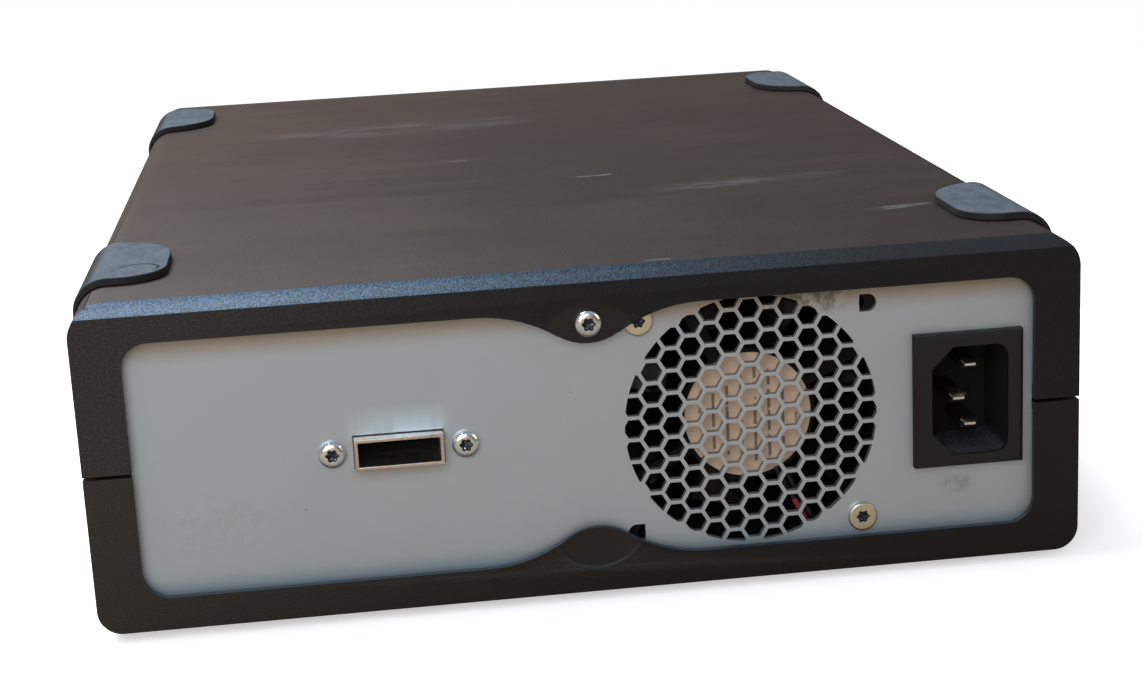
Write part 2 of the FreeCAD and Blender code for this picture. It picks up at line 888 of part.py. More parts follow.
def make_corner_pads():
    """Rubber pads that wrap the case's long edges, four above and four below."""
    for end in ("rear", "front"):
        for hand, side in (("left", 1), ("right", -1)):
            make_corner_pad(f"top_pad_{end}_{hand}", end, side, 1, "shell_top", "top_round")
            make_corner_pad(f"foot_pad_{end}_{hand}", end, side, -1, "shell_bottom", "bottom_round")


def make_corner_pad(label, end, side, up, face, corner):
    """A tongue on the face that bends round the case's rounded edge and down its side."""
    glue = size("glue_gap")
    edge = size("side_face") + glue
    skin = size("pad_side") - glue
    thick = size("pad_thickness") - glue
    radius = size(corner) + glue
    base = size(face) + up * glue
    inner_x = size("side_face") - size("pad_width")
    bend_x = edge - radius
    outer_radius = radius + skin
    outer_centre = base + up * (thick - outer_radius)
    foot = base - up * (radius + size("pad_skirt"))
    turn = math.sqrt(0.5)

    def at(x, z):
        return FreeCAD.Vector(side * x, 0, z)

    outline = [
        Part.LineSegment(at(inner_x, base), at(inner_x, base + up * thick)).toShape(),
        Part.LineSegment(at(inner_x, base + up * thick), at(bend_x, base + up * thick)).toShape(),
        Part.Arc(
            at(bend_x, base + up * thick),
            at(bend_x + outer_radius * turn, outer_centre + up * outer_radius * turn),
            at(edge + skin, outer_centre),
        ).toShape(),
        Part.LineSegment(at(edge + skin, outer_centre), at(edge + skin, foot)).toShape(),
        Part.LineSegment(at(edge + skin, foot), at(edge, foot)).toShape(),
        Part.LineSegment(at(edge, foot), at(edge, base - up * radius)).toShape(),
        Part.Arc(
            at(edge, base - up * radius),
            at(bend_x + radius * turn, base - up * radius * (1 - turn)),
            at(bend_x, base),
        ).toShape(),
        Part.LineSegment(at(bend_x, base), at(inner_x, base)).toShape(),
    ]
    length = size("pad_length")
    section = Part.Face(Part.Wire(outline))
    block = section.extrude(FreeCAD.Vector(0, length, 0))
    corners = [[], []]
    for line in block.Edges:
        middle = line.CenterOfMass
        if abs(middle.x - side * inner_x) < 0.01 and line.BoundBox.ZLength > 0.5 * thick:
            corners[0 if middle.y > length / 2 else 1].append(line)
    block = block.makeFillet(size("pad_tip_round"), corners[0])
    tail = [
        line
        for line in block.Edges
        if abs(line.CenterOfMass.x - side * inner_x) < 0.01
        and line.CenterOfMass.y < 0.01
        and line.BoundBox.ZLength > 0.5 * thick
    ]
    block = block.makeFillet(size("pad_tail_round"), tail)
    if end == "front":
        block = block.mirror(FreeCAD.Vector(), FreeCAD.Vector(0, 1, 0))
    pad = node(fixed_shape(block), label)
    starts = {
        "rear": "rear_face - pad_setback - pad_length",
        "front": "front_face + pad_setback + pad_length",
    }
    place(pad, "0", starts[end], "0")


def revolve(body, points):
    """A turned form: a half outline given as (radius, y) pairs, spun about the body's Y axis."""
    sketch = sketch_on(body, "z", "0")
    polygon(sketch, points)
    feature = body.newObject("PartDesign::Revolution", "Turned")
    feature.Profile = sketch
    feature.ReferenceAxis = (axis_of(body, "Y_Axis"), [""])
    feature.Angle = 360
    sketch.Visibility = False
    doc.recompute()
    return feature


def axis_of(body, role):
    return [item for item in body.Origin.OriginFeatures if item.Role == role][0]


def ring_of(body, features, role, count):
    """Copies of features set evenly round one of the body's own axes."""
    pattern = body.newObject("PartDesign::PolarPattern", "Ring")
    pattern.Originals = features
    pattern.Axis = (axis_of(body, role), [""])
    pattern.Angle = 360
    bind(pattern, "Occurrences", count)
    body.Tip = pattern
    doc.recompute()
    return pattern


def make_grille():
    """Hexagonal cells on a staggered lattice, one on the fan's axis, trimmed by the round grille."""
    pitch = size("cell_pitch")
    corner = (pitch - size("cell_web")) / math.sqrt(3)
    radius = size("grille_radius")
    thickness = size("panel_thickness")
    column_pitch = pitch * math.sqrt(3) / 2
    columns = int(radius / column_pitch)
    rows = int(radius / pitch) + 1
    start = FreeCAD.Vector(0, -thickness, 0)
    depth = FreeCAD.Vector(0, 3 * thickness, 0)
    trim = Part.makeCylinder(radius, 3 * thickness, start, FreeCAD.Vector(0, 1, 0))
    cells = []
    for column in range(-columns, columns + 1):
        for row in range(-rows, rows + 1):
            x = column * column_pitch
            z = (row + 0.5 * (column % 2)) * pitch
            corners = [
                FreeCAD.Vector(
                    x + corner * math.cos(math.radians(60 * turn)),
                    -thickness,
                    z + corner * math.sin(math.radians(60 * turn)),
                )
                for turn in range(7)
            ]
            if math.hypot(x, z) > radius:
                continue
            cell = Part.Face(Part.makePolygon(corners)).extrude(depth)
            inside = max(math.hypot(point.x, point.z) for point in corners) < radius
            cells.append(cell if inside else cell.common(trim))
    item = fixed_shape(Part.makeCompound(cells), "GrilleCells")
    place(item, "fan_x", "panel_back", "fan_z")
    return item


def d_hole(x, z, square_side):
    """A hole that is half round and half square, through the panel."""
    span = ("panel_back - 1", "panel_front + 1")
    round_half = cylinder("y", (x, z), "locator_radius", span)
    edge = f"{x} + {square_side} * locator_square"
    sides = (x, edge) if square_side > 0 else (edge, x)
    square_half = box(sides, span, (f"{z} - locator_radius", f"{z} + locator_radius"))
    return fuse(round_half, square_half)


def make_rear_panel():
    """The steel panel behind the frame, its foot folded forward under the tray."""
    body = blank_body("PanelSheet")
    low = "tray_bottom - panel_thickness"
    half = "inner_side - fit_gap"
    pad_box(body, (f"-({half})", half), ("panel_back", "panel_front"), (low, "inner_top - fit_gap"))
    soften(body, "top_round", edge_along("y", z=["inner_top - fit_gap"]))
    soften(body, "panel_corner", edge_along("y", z=[low]), "PartDesign::Chamfer")
    pad_box(
        body,
        (f"-({half} - bottom_round)", f"{half} - bottom_round"),
        ("panel_back - panel_foot", "panel_back"),
        (low, "tray_bottom"),
    )
    through = ("panel_back - 1", "panel_front + 1")
    inlet_hole = box(
        ("inlet_x - inlet_body_width / 2 - screw_play", "inlet_x + inlet_body_width / 2 + screw_play"),
        through,
        ("inlet_z - inlet_body_height / 2 - screw_play", "inlet_z + inlet_body_height / 2 + screw_play"),
    )
    port_hole = box(
        ("port_x - port_width / 2 - fit_gap", "port_x + port_width / 2 + fit_gap"),
        through,
        ("port_z - port_height / 2 - fit_gap", "port_z + port_height / 2 + fit_gap"),
    )
    holes = [
        cylinder("y", (x, z), "hole_radius", through)
        for x, z in (SHELL_SCREW, *FAN_SCREWS, *PORT_SCREWS)
    ]
    locators = [
        d_hole("fan_x - fan_hole_pitch / 2 - locator_shift", "fan_z + fan_hole_pitch / 2", 1),
        d_hole("fan_x + fan_hole_pitch / 2 + locator_shift", "fan_z - fan_hole_pitch / 2 + locator_drop", -1),
    ]
    node(cut(body, make_grille(), inlet_hole, port_hole, *holes, *locators), "rear_panel")


def make_tray():
    """The steel floor of the chassis, one edge turned up, with pressed posts for the supply."""
    plate = box(
        ("-(inner_side - 2 * fit_gap)", "inner_side - 2 * fit_gap"),
        ("shell_front + bezel_lip + fit_gap", "panel_back - fit_gap"),
        ("tray_bottom", "tray_top"),
    )
    edge = box(
        ("-(inner_side - 2 * fit_gap)", "-(inner_side - 2 * fit_gap) + tray_thickness"),
        ("shell_front + bezel_lip + fit_gap", "panel_back - fit_gap"),
        ("tray_bottom", "tray_top + tray_edge"),
    )
    posts = [
        cylinder("z", post, "standoff_radius", ("tray_top", "supply_bottom")) for post in SUPPLY_POSTS
    ]
    holes = [
        cylinder("z", spot, "hole_radius", ("tray_bottom - 1", "tray_top + 1")) for spot in TRAY_SCREWS
    ]
    node(cut(fuse(plate, edge, *posts), *holes), "chassis_tray")


def make_front_bezel():
    """The front plate, a lip that plugs into both shells, the drive's window, button and vents."""
    body = new_body("front_bezel")
    pad_box(
        body,
        ("-side_face", "side_face"),
        ("front_face", "shell_front"),
        ("shell_bottom", "shell_top"),
    )
    soften(body, "top_round", edge_along("y", z=["shell_top"]))
    soften(body, "bottom_round", edge_along("y", z=["shell_bottom"]))
    soften(
        body,
        "bezel_edge",
        lambda edge: all(abs(spot.Point.y - size("front_face")) < 0.01 for spot in edge.Vertexes),
        "PartDesign::Chamfer",
    )
    lip = sketch_on(body, "y", "shell_front")
    rectangle(
        lip,
        ("-(inner_side - fit_gap)", "inner_side - fit_gap"),
        ("inner_bottom + fit_gap", "inner_top - fit_gap"),
    )
    extrude(body, lip, "y", "bezel_lip")
    soften(
        body,
        "top_round - wall",
        edge_along("y", x=["inner_side - fit_gap", "-(inner_side - fit_gap)"]),
    )
    pocket(
        body, "y", "shell_front", "bezel_lip",
        lambda sketch: rectangle(
            sketch,
            ("-(inner_side - fit_gap - bezel_lip_wall)", "inner_side - fit_gap - bezel_lip_wall"),
            ("inner_bottom + fit_gap + bezel_lip_wall", "inner_top - fit_gap - bezel_lip_wall"),
        ),
    )
    pocket(
        body, "y", "front_face", "bezel_thickness",
        lambda sketch: rectangle(
            sketch,
            ("drive_left - drive_window_gap", "drive_right + drive_window_gap"),
            ("drive_bottom - drive_window_gap", "drive_top + drive_window_gap"),
        ),
    )
    pocket(
        body, "y", "front_face", "bezel_thickness",
        lambda sketch: circle(sketch, "button_x", "button_z", "button_radius + fit_gap"),
    )
    pocket(
        body, "y", "front_face", "bezel_thickness",
        lambda sketch: circle(sketch, "button_x", "button_z + light_rise", "light_radius + screw_play"),
    )
    for number in range(int(size("vent_count"))):
        low = f"seam + vent_start + {number} * vent_pitch"
        pocket(
            body, "y", "front_face", "bezel_thickness",
            lambda sketch, low=low: rectangle(
                sketch,
                ("button_x - vent_length / 2", "button_x + vent_length / 2"),
                (low, f"{low} + vent_height"),
            ),
        )


def make_screws():
    node(screw("y", SHELL_SCREW, "rear_face - lens_depth", 1), "shell_screw")
    node(
        group(*[
            screw("y", spot, "panel_front", 1, WAFER_HEAD) for spot in FAN_SCREWS
        ]),
        "fan_screws",
    )
    node(
        group(*[screw("y", spot, "panel_front", 1, length="screw_length / 2") for spot in PORT_SCREWS]),
        "port_screws",
    )
    node(
        group(*[
            screw("z", spot, "tray_top", 1, length="tray_top - inner_bottom") for spot in TRAY_SCREWS
        ]),
        "tray_screws",
    )
    left = [
        screw("x", spot, "drive_left - bracket_thickness", -1, length="bracket_thickness + drive_wall")
        for spot in DRIVE_SCREWS
    ]
    right = [
        screw("x", spot, "drive_right + bracket_thickness", 1, length="bracket_thickness + drive_wall")
        for spot in DRIVE_SCREWS
    ]
    node(group(*left, *right), "drive_screws")


# ------------------------------------------------------------------------------- the fan
def make_fan():
    """A square axial fan: flanged barrel, a fixed hub on four struts, and a bladed rotor."""
    half = "fan_size / 2"
    square = ((f"fan_x - {half}", f"fan_x + {half}"), (f"fan_z - {half}", f"fan_z + {half}"))
    plates = [
        box(square[0], span, square[1])
        for span in (("fan_front", "fan_front + fan_flange"), ("panel_back - fan_flange", "panel_back"))
    ]
    barrel = cylinder("y", FAN_CENTRE, half, ("fan_front", "panel_back"))
    bore = cylinder("y", FAN_CENTRE, "fan_bore_radius", ("fan_front - 1", "panel_back + 1"))
    corners = [
        cylinder(
            "y",
            (f"fan_x + {x} * fan_hole_pitch / 2", f"fan_z + {z} * fan_hole_pitch / 2"),
            "hole_radius",
            ("fan_front - 1", "panel_back + 1"),
        )
        for x in (-1, 1)
        for z in (-1, 1)
    ]
    spider = blank_body("FanSpider")
    arm = sketch_on(spider, "y", "fan_hub_back")
    rectangle(arm, ("0", "fan_bore_radius + 0.5"), ("-fan_strut / 2", "fan_strut / 2"))
    ring_of(spider, [extrude(spider, arm, "y", "fan_hub_plate")], "Y_Axis", "fan_strut_count")
    place(spider, "fan_x", "0", "fan_z", STRUT_TURN)
    hub = cylinder("y", FAN_CENTRE, "fan_hub_radius", ("fan_hub_back", "fan_hub_face"))
    tube = cylinder("y", FAN_CENTRE, "fan_tube_radius", ("tube_front", "fan_hub_face"))
    shaft_hole = cylinder("y", FAN_CENTRE, "fan_shaft_radius + shaft_play", ("fan_front", "shaft_end"))
    notch = blank_body("LeadNotch")
    slot = sketch_on(notch, "y", "fan_front - 1")
    rectangle(slot, ("-lead_path - notch_depth", "-(fan_size / 2)"), ("-2 * lead_pitch", "2 * lead_pitch"))
    extrude(notch, slot, "y", "fan_depth + 1")
    door = sketch_on(notch, "y", "fan_hub_face - 2 * lead_dip")
    rectangle(door, ("-lead_path - 1", "-(fan_bore_radius - 1)"), ("-2 * lead_pitch", "2 * lead_pitch"))
    extrude(notch, door, "y", "panel_back - fan_hub_face + 2 * lead_dip")
    place(notch, "fan_x", "0", "fan_z", LEAD_TURN)
    shell = cut(fuse(*plates, barrel), bore, *corners, notch)
    node(cut(fuse(shell, spider, hub, tube), shaft_hole), "fan_frame")
    label_span = ("fan_hub_face", "fan_hub_face + label_thickness")
    node(cylinder("y", FAN_CENTRE, "fan_hub_radius - label_inset", label_span), "fan_label")
    make_rotor()
    make_fan_leads()


def draw_blade(sketch, chord):
    """A blade's section: two bowed arcs, thickest half way, joined by its leading and trailing edges."""
    front = size("blade_front")
    rear = size("blade_rear")
    skin = size("blade_thickness") / 2
    crest = (front + rear) / 2 + chord * size("blade_camber")
    low_ends = [FreeCAD.Vector(front, -chord / 2, 0), FreeCAD.Vector(rear, chord / 2 - skin, 0)]
    high_ends = [FreeCAD.Vector(rear, chord / 2, 0), FreeCAD.Vector(front, skin - chord / 2, 0)]
    low = Part.Arc(low_ends[0], FreeCAD.Vector(crest, -skin, 0), low_ends[1])
    high = Part.Arc(high_ends[0], FreeCAD.Vector(crest, skin, 0), high_ends[1])
    sketch.addGeometry(low, False)
    sketch.addGeometry(Part.LineSegment(low_ends[1], high_ends[0]), False)
    sketch.addGeometry(high, False)
    sketch.addGeometry(Part.LineSegment(high_ends[1], low_ends[0]), False)


def make_rotor():
    """The spinning cup with its shaft and twisted blades, each a loft from root to tip."""
    body = new_body("fan_rotor")
    revolve(
        body,
        [
            ("0", "rotor_front"),
            ("fan_hub_radius", "rotor_front"),
            ("fan_hub_radius", "rotor_rear"),
            ("fan_hub_radius - rotor_wall", "rotor_rear"),
            ("fan_hub_radius - rotor_wall", "rotor_floor"),
            ("fan_shaft_radius", "rotor_floor"),
            ("fan_shaft_radius", "fan_hub_back"),
            ("0", "fan_hub_back"),
        ],
    )
    sections = []
    spans = (("blade_root_reach", "blade_root_chord"), ("blade_tip_reach", "blade_tip_chord"))
    for reach, chord in spans:
        sketch = sketch_on(body, "x", reach)
        draw_blade(sketch, size(chord))
        sections.append(sketch)
    blade = body.newObject("PartDesign::AdditiveLoft", "Blade")
    blade.Profile = sections[0]
    blade.Sections = [sections[1]]
    blade.Ruled = True
    doc.recompute()
    ring_of(body, [blade], "Y_Axis", "blade_count")
    place(body, "fan_x", "0", "fan_z")


def strut_point(reach, side, level):
    """A point beside the strut that carries the leads: reach out from the axis, side across it."""
    turn = math.radians(size("lead_angle"))
    out = size(reach)
    x = size("fan_x") + out * math.cos(turn) - side * math.sin(turn)
    z = size("fan_z") + out * math.sin(turn) + side * math.cos(turn)
    return (f"{x:.4f}", level, f"{z:.4f}")


def make_fan_leads():
    """Two leads from the hub, out along a strut, forward through the frame and to the supply."""
    leads = []
    level = "fan_hub_face + 2 * lead_radius"
    for side in (-1, 1):
        across = side * size("lead_pitch") / 2
        start = strut_point("fan_hub_radius - 1.3", across, level)
        dip = strut_point("fan_bore_radius + 0.5", across, level)
        turn = strut_point("lead_path", across, f"{level} - lead_dip")
        leave = (turn[0], "fan_front - lead_tail", turn[2])
        end = (f"fan_plug_x + {side} * lead_pitch / 2", "supply_rear", "supply_top + fan_plug_size / 2")
        leads.append(fixed_shape(cable([start, dip, turn, leave, end], "lead_radius"), "Lead"))
    node(group(*leads), "fan_leads")


# ------------------------------------------------------------------- inlet and data port
def make_inlet():
    """A snap-in mains inlet, long axis upright, its keyed side towards the fan."""
    pins = [
        box(
            (f"{x} - pin_width / 2", f"{x} + pin_width / 2"),
            ("panel_front - inlet_body_depth - pin_tail", f"rear_face - {recess}"),
            (f"{z} - pin_thickness / 2", f"{z} + pin_thickness / 2"),
        )
        for x, z, recess in INLET_PINS
    ]
    blades = node(group(*pins), "inlet_pins")
    body = blank_body("InletBody")
    pad_box(
        body,
        ("inlet_x - inlet_flange_width / 2", "inlet_x + inlet_flange_width / 2"),
        ("panel_front", "rear_face"),
        ("inlet_z - inlet_flange_height / 2", "inlet_z + inlet_flange_height / 2"),
    )
    soften(
        body,
        "inlet_edge",
        lambda edge: all(abs(spot.Point.y - size("rear_face")) < 0.01 for spot in edge.Vertexes),
        "PartDesign::Chamfer",
    )
    pad_box(
        body,
        ("inlet_x - inlet_body_width / 2", "inlet_x + inlet_body_width / 2"),
        ("panel_front - inlet_body_depth", "panel_front"),
        ("inlet_z - inlet_body_height / 2", "inlet_z + inlet_body_height / 2"),
    )
    wide = "inlet_mouth_width / 2"
    tall = "inlet_mouth_height / 2"
    pocket(
        body, "y", "rear_face - inlet_mouth_depth", "inlet_mouth_depth",
        lambda sketch: polygon(
            sketch,
            [
                (f"inlet_x - {wide}", f"inlet_z - {tall}"),
                (f"inlet_x + {wide} - inlet_chamfer", f"inlet_z - {tall}"),
                (f"inlet_x + {wide}", f"inlet_z - {tall} + inlet_chamfer"),
                (f"inlet_x + {wide}", f"inlet_z + {tall} - inlet_chamfer"),
                (f"inlet_x + {wide} - inlet_chamfer", f"inlet_z + {tall}"),
                (f"inlet_x - {wide}", f"inlet_z + {tall}"),
            ],
        ),
    )
    soften(
        body,
        "inlet_round",
        edge_along("y", x=[f"inlet_x - {wide}"], z=[f"inlet_z - {tall}", f"inlet_z + {tall}"]),
    )
    node(cut(body, blades), "inlet_body")
    leads = []
    pin_end = "panel_front - inlet_body_depth - pin_tail"
    for number, (x, z, _) in enumerate(INLET_PINS):
        plug_x = f"inlet_x + ({number} - 1) * inlet_lead_pitch"
        start = (x, pin_end, z)
        drop = (x, f"({pin_end} + supply_rear) / 2 + 4", z)
        low = (plug_x, f"({pin_end} + supply_rear) / 2 - 2", "mains_lead_z")
        end = (plug_x, "supply_rear - board_edge", "mains_lead_z")
        leads.append(fixed_shape(cable([start, drop, low, end], "lead_radius"), "Lead"))
    node(group(*leads), "inlet_leads")


def make_port():
    """A screened socket on a small board, its flange screwed to the panel from outside."""
    wide = "port_width / 2"
    tall = "port_height / 2"
    outer = box(
        (f"port_x - {wide}", f"port_x + {wide}"),
        ("rear_face - port_depth", "rear_face"),
        (f"port_z - {tall}", f"port_z + {tall}"),
    )
    flange = box(
        ("port_x - port_flange_width / 2", "port_x + port_flange_width / 2"),
        ("panel_back - port_flange_thickness", "panel_back"),
        ("port_z - port_flange_height / 2", "port_z + port_flange_height / 2"),
    )
    inner = box(
        (f"port_x - {wide} + port_wall", f"port_x + {wide} - port_wall"),
        ("rear_face - port_depth - 1", "rear_face + 1"),
        (f"port_z - {tall} + port_wall", f"port_z + {tall} - port_wall"),
    )
    holes = [
        cylinder("y", spot, "hole_radius", ("panel_back - port_flange_thickness - 1", "panel_back + 1"))
        for spot in PORT_SCREWS
    ]
    node(cut(fuse(outer, flange), inner, *holes), "port_cage")
    core = box(
        (f"port_x - {wide} + port_wall", f"port_x + {wide} - port_wall"),
        ("rear_face - port_depth", "rear_face - port_mouth_depth"),
        (f"port_z - {tall} + port_wall", f"port_z + {tall} - port_wall"),
    )
    slot = box(
        (f"port_x - {wide} + 2.5 * port_wall", f"port_x + {wide} - 2.5 * port_wall"),
        ("rear_face - port_depth + port_slot_end", "rear_face - port_mouth_depth + 1"),
        ("port_z - port_slot_height / 2", "port_z + port_slot_height / 2"),
    )
    node(cut(core, slot), "port_insert")
    board_front = "panel_back - port_flange_thickness - fit_gap - port_board_depth"
    board = box(
        ("port_x - port_board_width / 2", "port_x + port_board_width / 2"),
        (board_front, "panel_back - port_flange_thickness - fit_gap"),
        ("port_z - port_flange_height / 2 - board_thickness", "port_z - port_flange_height / 2"),
    )
    riser = box(
        (f"port_x - {wide}", f"port_x + {wide}"),
        ("rear_face - port_depth", "panel_back - port_flange_thickness - fit_gap"),
        ("port_z - port_flange_height / 2", f"port_z - {tall}"),
    )
    node(fuse(board, riser), "port_board")
    start = ("port_x", board_front, "port_z - port_flange_height / 2 + cable_radius")
    middle = ("port_x", f"{board_front} - data_cable_run", start[2])
    arrive = ("data_plug_x", "drive_rear + data_cable_run + plug_depth", "data_plug_z")
    end = ("data_plug_x", "drive_rear + plug_depth", "data_plug_z")
    node(fixed_shape(cable([start, middle, arrive, end], "cable_radius")), "data_cable")


# ---------------------------------------------------------------------- the power supply
def make_supply():
    """An open-frame supply on four posts: board, transformer, capacitors and a finned sink."""
    board = box(
        ("supply_left", "supply_right"),
        ("supply_front", "supply_rear"),
        ("supply_bottom", "supply_top"),
    )
    inlet_block = box(
        ("inlet_x - inlet_block_width / 2", "inlet_x + inlet_block_width / 2"),
        ("supply_rear - board_edge - inlet_block_depth", "supply_rear - board_edge"),
        ("supply_top", "supply_top + inlet_block_height"),
    )
    fan_plug = box(
        ("fan_plug_x - fan_plug_size / 2", "fan_plug_x + fan_plug_size / 2"),
        ("supply_rear - fan_plug_size", "supply_rear"),
        ("supply_top", "supply_top + fan_plug_size"),
    )
    node(fuse(board, inlet_block, fan_plug), "supply_board")
    middle = "(supply_left + supply_right) / 2"
    core_y = "supply_front + supply_length * transformer_place"
    core = box(
        (f"{middle} - transformer_width / 2", f"{middle} + transformer_width / 2"),
        (f"{core_y} - transformer_length / 2", f"{core_y} + transformer_length / 2"),
        ("supply_top", "supply_top + transformer_height"),
    )
    winding = cylinder(
        "z", (middle, core_y), "transformer_width * winding_share",
        ("supply_top + winding_inset", "supply_top + transformer_height - winding_inset"),
    )
    node(fuse(core, winding), "supply_transformer")
    cans = []
    for number in range(int(size("capacitor_count"))):
        y = f"supply_rear - capacitor_from_rear - {number} * (2 * capacitor_radius + capacitor_gap)"
        can = blank_body("Can")
        revolve(
            can,
            [
                ("0", "0"),
                ("capacitor_radius", "0"),
                ("capacitor_radius", "capacitor_bead_level - capacitor_bead"),
                ("capacitor_radius - capacitor_bead", "capacitor_bead_level"),
                ("capacitor_radius", "capacitor_bead_level + capacitor_bead"),
                ("capacitor_radius", "capacitor_height - capacitor_crown"),
                ("capacitor_radius - capacitor_crown", "capacitor_height"),
                ("0", "capacitor_height"),
            ],
        )
        place(can, middle, y, "supply_top", UPRIGHT)
        cans.append(can)
    node(group(*cans), "supply_capacitors")
    sink_low = "supply_left + sink_inset"
    sink_front = "supply_front + sink_setback"
    base = box(
        (sink_low, f"{sink_low} + sink_base"),
        (sink_front, f"{sink_front} + sink_length"),
        ("supply_top", "supply_top + sink_height"),
    )
    fins = []
    for number in range(int(size("sink_fin_count"))):
        low = f"{sink_front} + {number} * (sink_length - sink_fin) / (sink_fin_count - 1)"
        fins.append(
            box(
                (f"{sink_low} + sink_base", f"{sink_low} + sink_base + sink_fin_reach"),
                (low, f"{low} + sink_fin"),
                ("supply_top", "supply_top + sink_height"),
            )
        )
    node(fuse(base, *fins), "supply_heat_sink")
    points = [
        ("supply_right - 6", "supply_rear - 40", "supply_top + cable_radius"),
        ("supply_right - 6", "supply_rear - 12", "supply_top + cable_radius"),
        ("power_plug_x", "drive_rear + power_cable_run", "power_plug_z"),
        ("power_plug_x", "drive_rear + plug_depth", "power_plug_z"),
    ]
    node(fixed_shape(cable(points, "cable_radius")), "supply_cable")


# --------------------------------------------------------------------- power button group
def make_power_button():
    """A round push button held behind the bezel, with its switch board and light pipe."""
    travel_end = "shell_front + button_stem + button_travel + fit_gap"
    board_front = f"{travel_end} + switch_depth"
    collar_back = "shell_front + button_collar"
    centre = ("button_x", "button_z")
    cap = cylinder("y", centre, "button_radius", ("front_face - button_proud", "shell_front"))
    collar = cylinder("y", centre, "button_radius + button_collar", ("shell_front", collar_back))
    stem = cylinder("y", centre, "button_stem_radius", (collar_back, "shell_front + button_stem"))
    node(fuse(cap, collar, stem), "power_button")
    switch = box(
        ("button_x - switch_size / 2", "button_x + switch_size / 2"),
        (travel_end, board_front),
        ("button_z - switch_size / 2", "button_z + switch_size / 2"),
    )
    board = box(
        ("button_x - switch_size", "button_x + switch_size"),
        (board_front, f"{board_front} + board_thickness"),
        ("tray_top", "button_z + light_rise + switch_board_head"),
    )
    node(fuse(switch, board), "power_switch")
    light = cylinder(
        "y", ("button_x", "button_z + light_rise"), "light_radius", ("front_face", board_front)
    )
    node(light, "power_light")


# ------------------------------------------------------------------------------ the drive
def make_drive_base():
    """The cast deck and side walls of the drive, with cartridge rails, posts and board pillars."""
    body = blank_body("DeckCasting")
    pad_box(
        body,
        ("drive_left", "drive_right"),
        ("drive_front", "drive_rear"),
        ("drive_bottom", "cover_bottom"),
    )
    inner = ("drive_left + drive_wall", "drive_right - drive_wall")
    pocket(
        body, "z", "deck_top", "cover_bottom - deck_top",
        lambda sketch: rectangle(sketch, inner, ("drive_front", "drive_rear - drive_wall")),
    )
    pocket(
        body, "z", "drive_bottom", "drive_deck_level",
        lambda sketch: rectangle(sketch, inner, ("drive_front", "drive_rear")),
    )
    rails = [
        box(
            (low, f"{low} + rail_width"),
            ("rail_front", "rail_rear"),
            ("deck_top", "deck_top + rail_height"),
        )
        for low in ("drive_x - rail_x - rail_width", "drive_x + rail_x")
    ]
    post_span = ("deck_bottom", "roller_bottom + roller_height + post_head")
    foot_span = ("deck_bottom", "roller_bottom - fit_gap")
    posts = []
    for x, y in ROLLERS:
        spot = (f"drive_x + {x}", y)
        posts.append(cylinder("z", spot, "post_radius", post_span))
        posts.append(cylinder("z", spot, "post_radius + post_foot", foot_span))
    pillars = [
        cylinder("z", (x, y), "pillar_radius", ("main_board_top", "deck_bottom"))
        for x in ("drive_left + pillar_inset_x", "drive_right - pillar_inset_x")
        for y in ("drive_front + pillar_inset_y", "drive_rear - pillar_inset_y")
    ]
    shafts = [
        cylinder("z", spot, "spindle_radius + screw_play", ("deck_bottom - 1", "deck_top + 1"))
        for spot in (SPINDLE, REEL)
    ]
    left_wall = ("drive_left - 1", "drive_left + drive_wall + 1")
    right_wall = ("drive_right - drive_wall - 1", "drive_right + 1")
    screw_holes = [
        cylinder("x", spot, "hole_radius", span)
        for spot in DRIVE_SCREWS
        for span in (left_wall, right_wall)
    ]
    rods = [cylinder("z", spot, "head_rod_radius", ("deck_bottom", "deck_top + 1")) for spot in HEAD_RODS]
    eject_room = box(
        ("eject_left - 2", "eject_right + 2"),
        ("drive_front - 1", "drive_front + eject_room"),
        ("deck_bottom - 1", "deck_top + 1"),
    )
    solid = fuse(body, *rails, *posts, *pillars)
    node(cut(solid, *shafts, *screw_holes, *rods, eject_room), "drive_base")
    cover = box(
        ("drive_left", "drive_right"), ("drive_front", "drive_rear"), ("cover_bottom", "drive_top")
    )
    node(cover, "drive_cover")


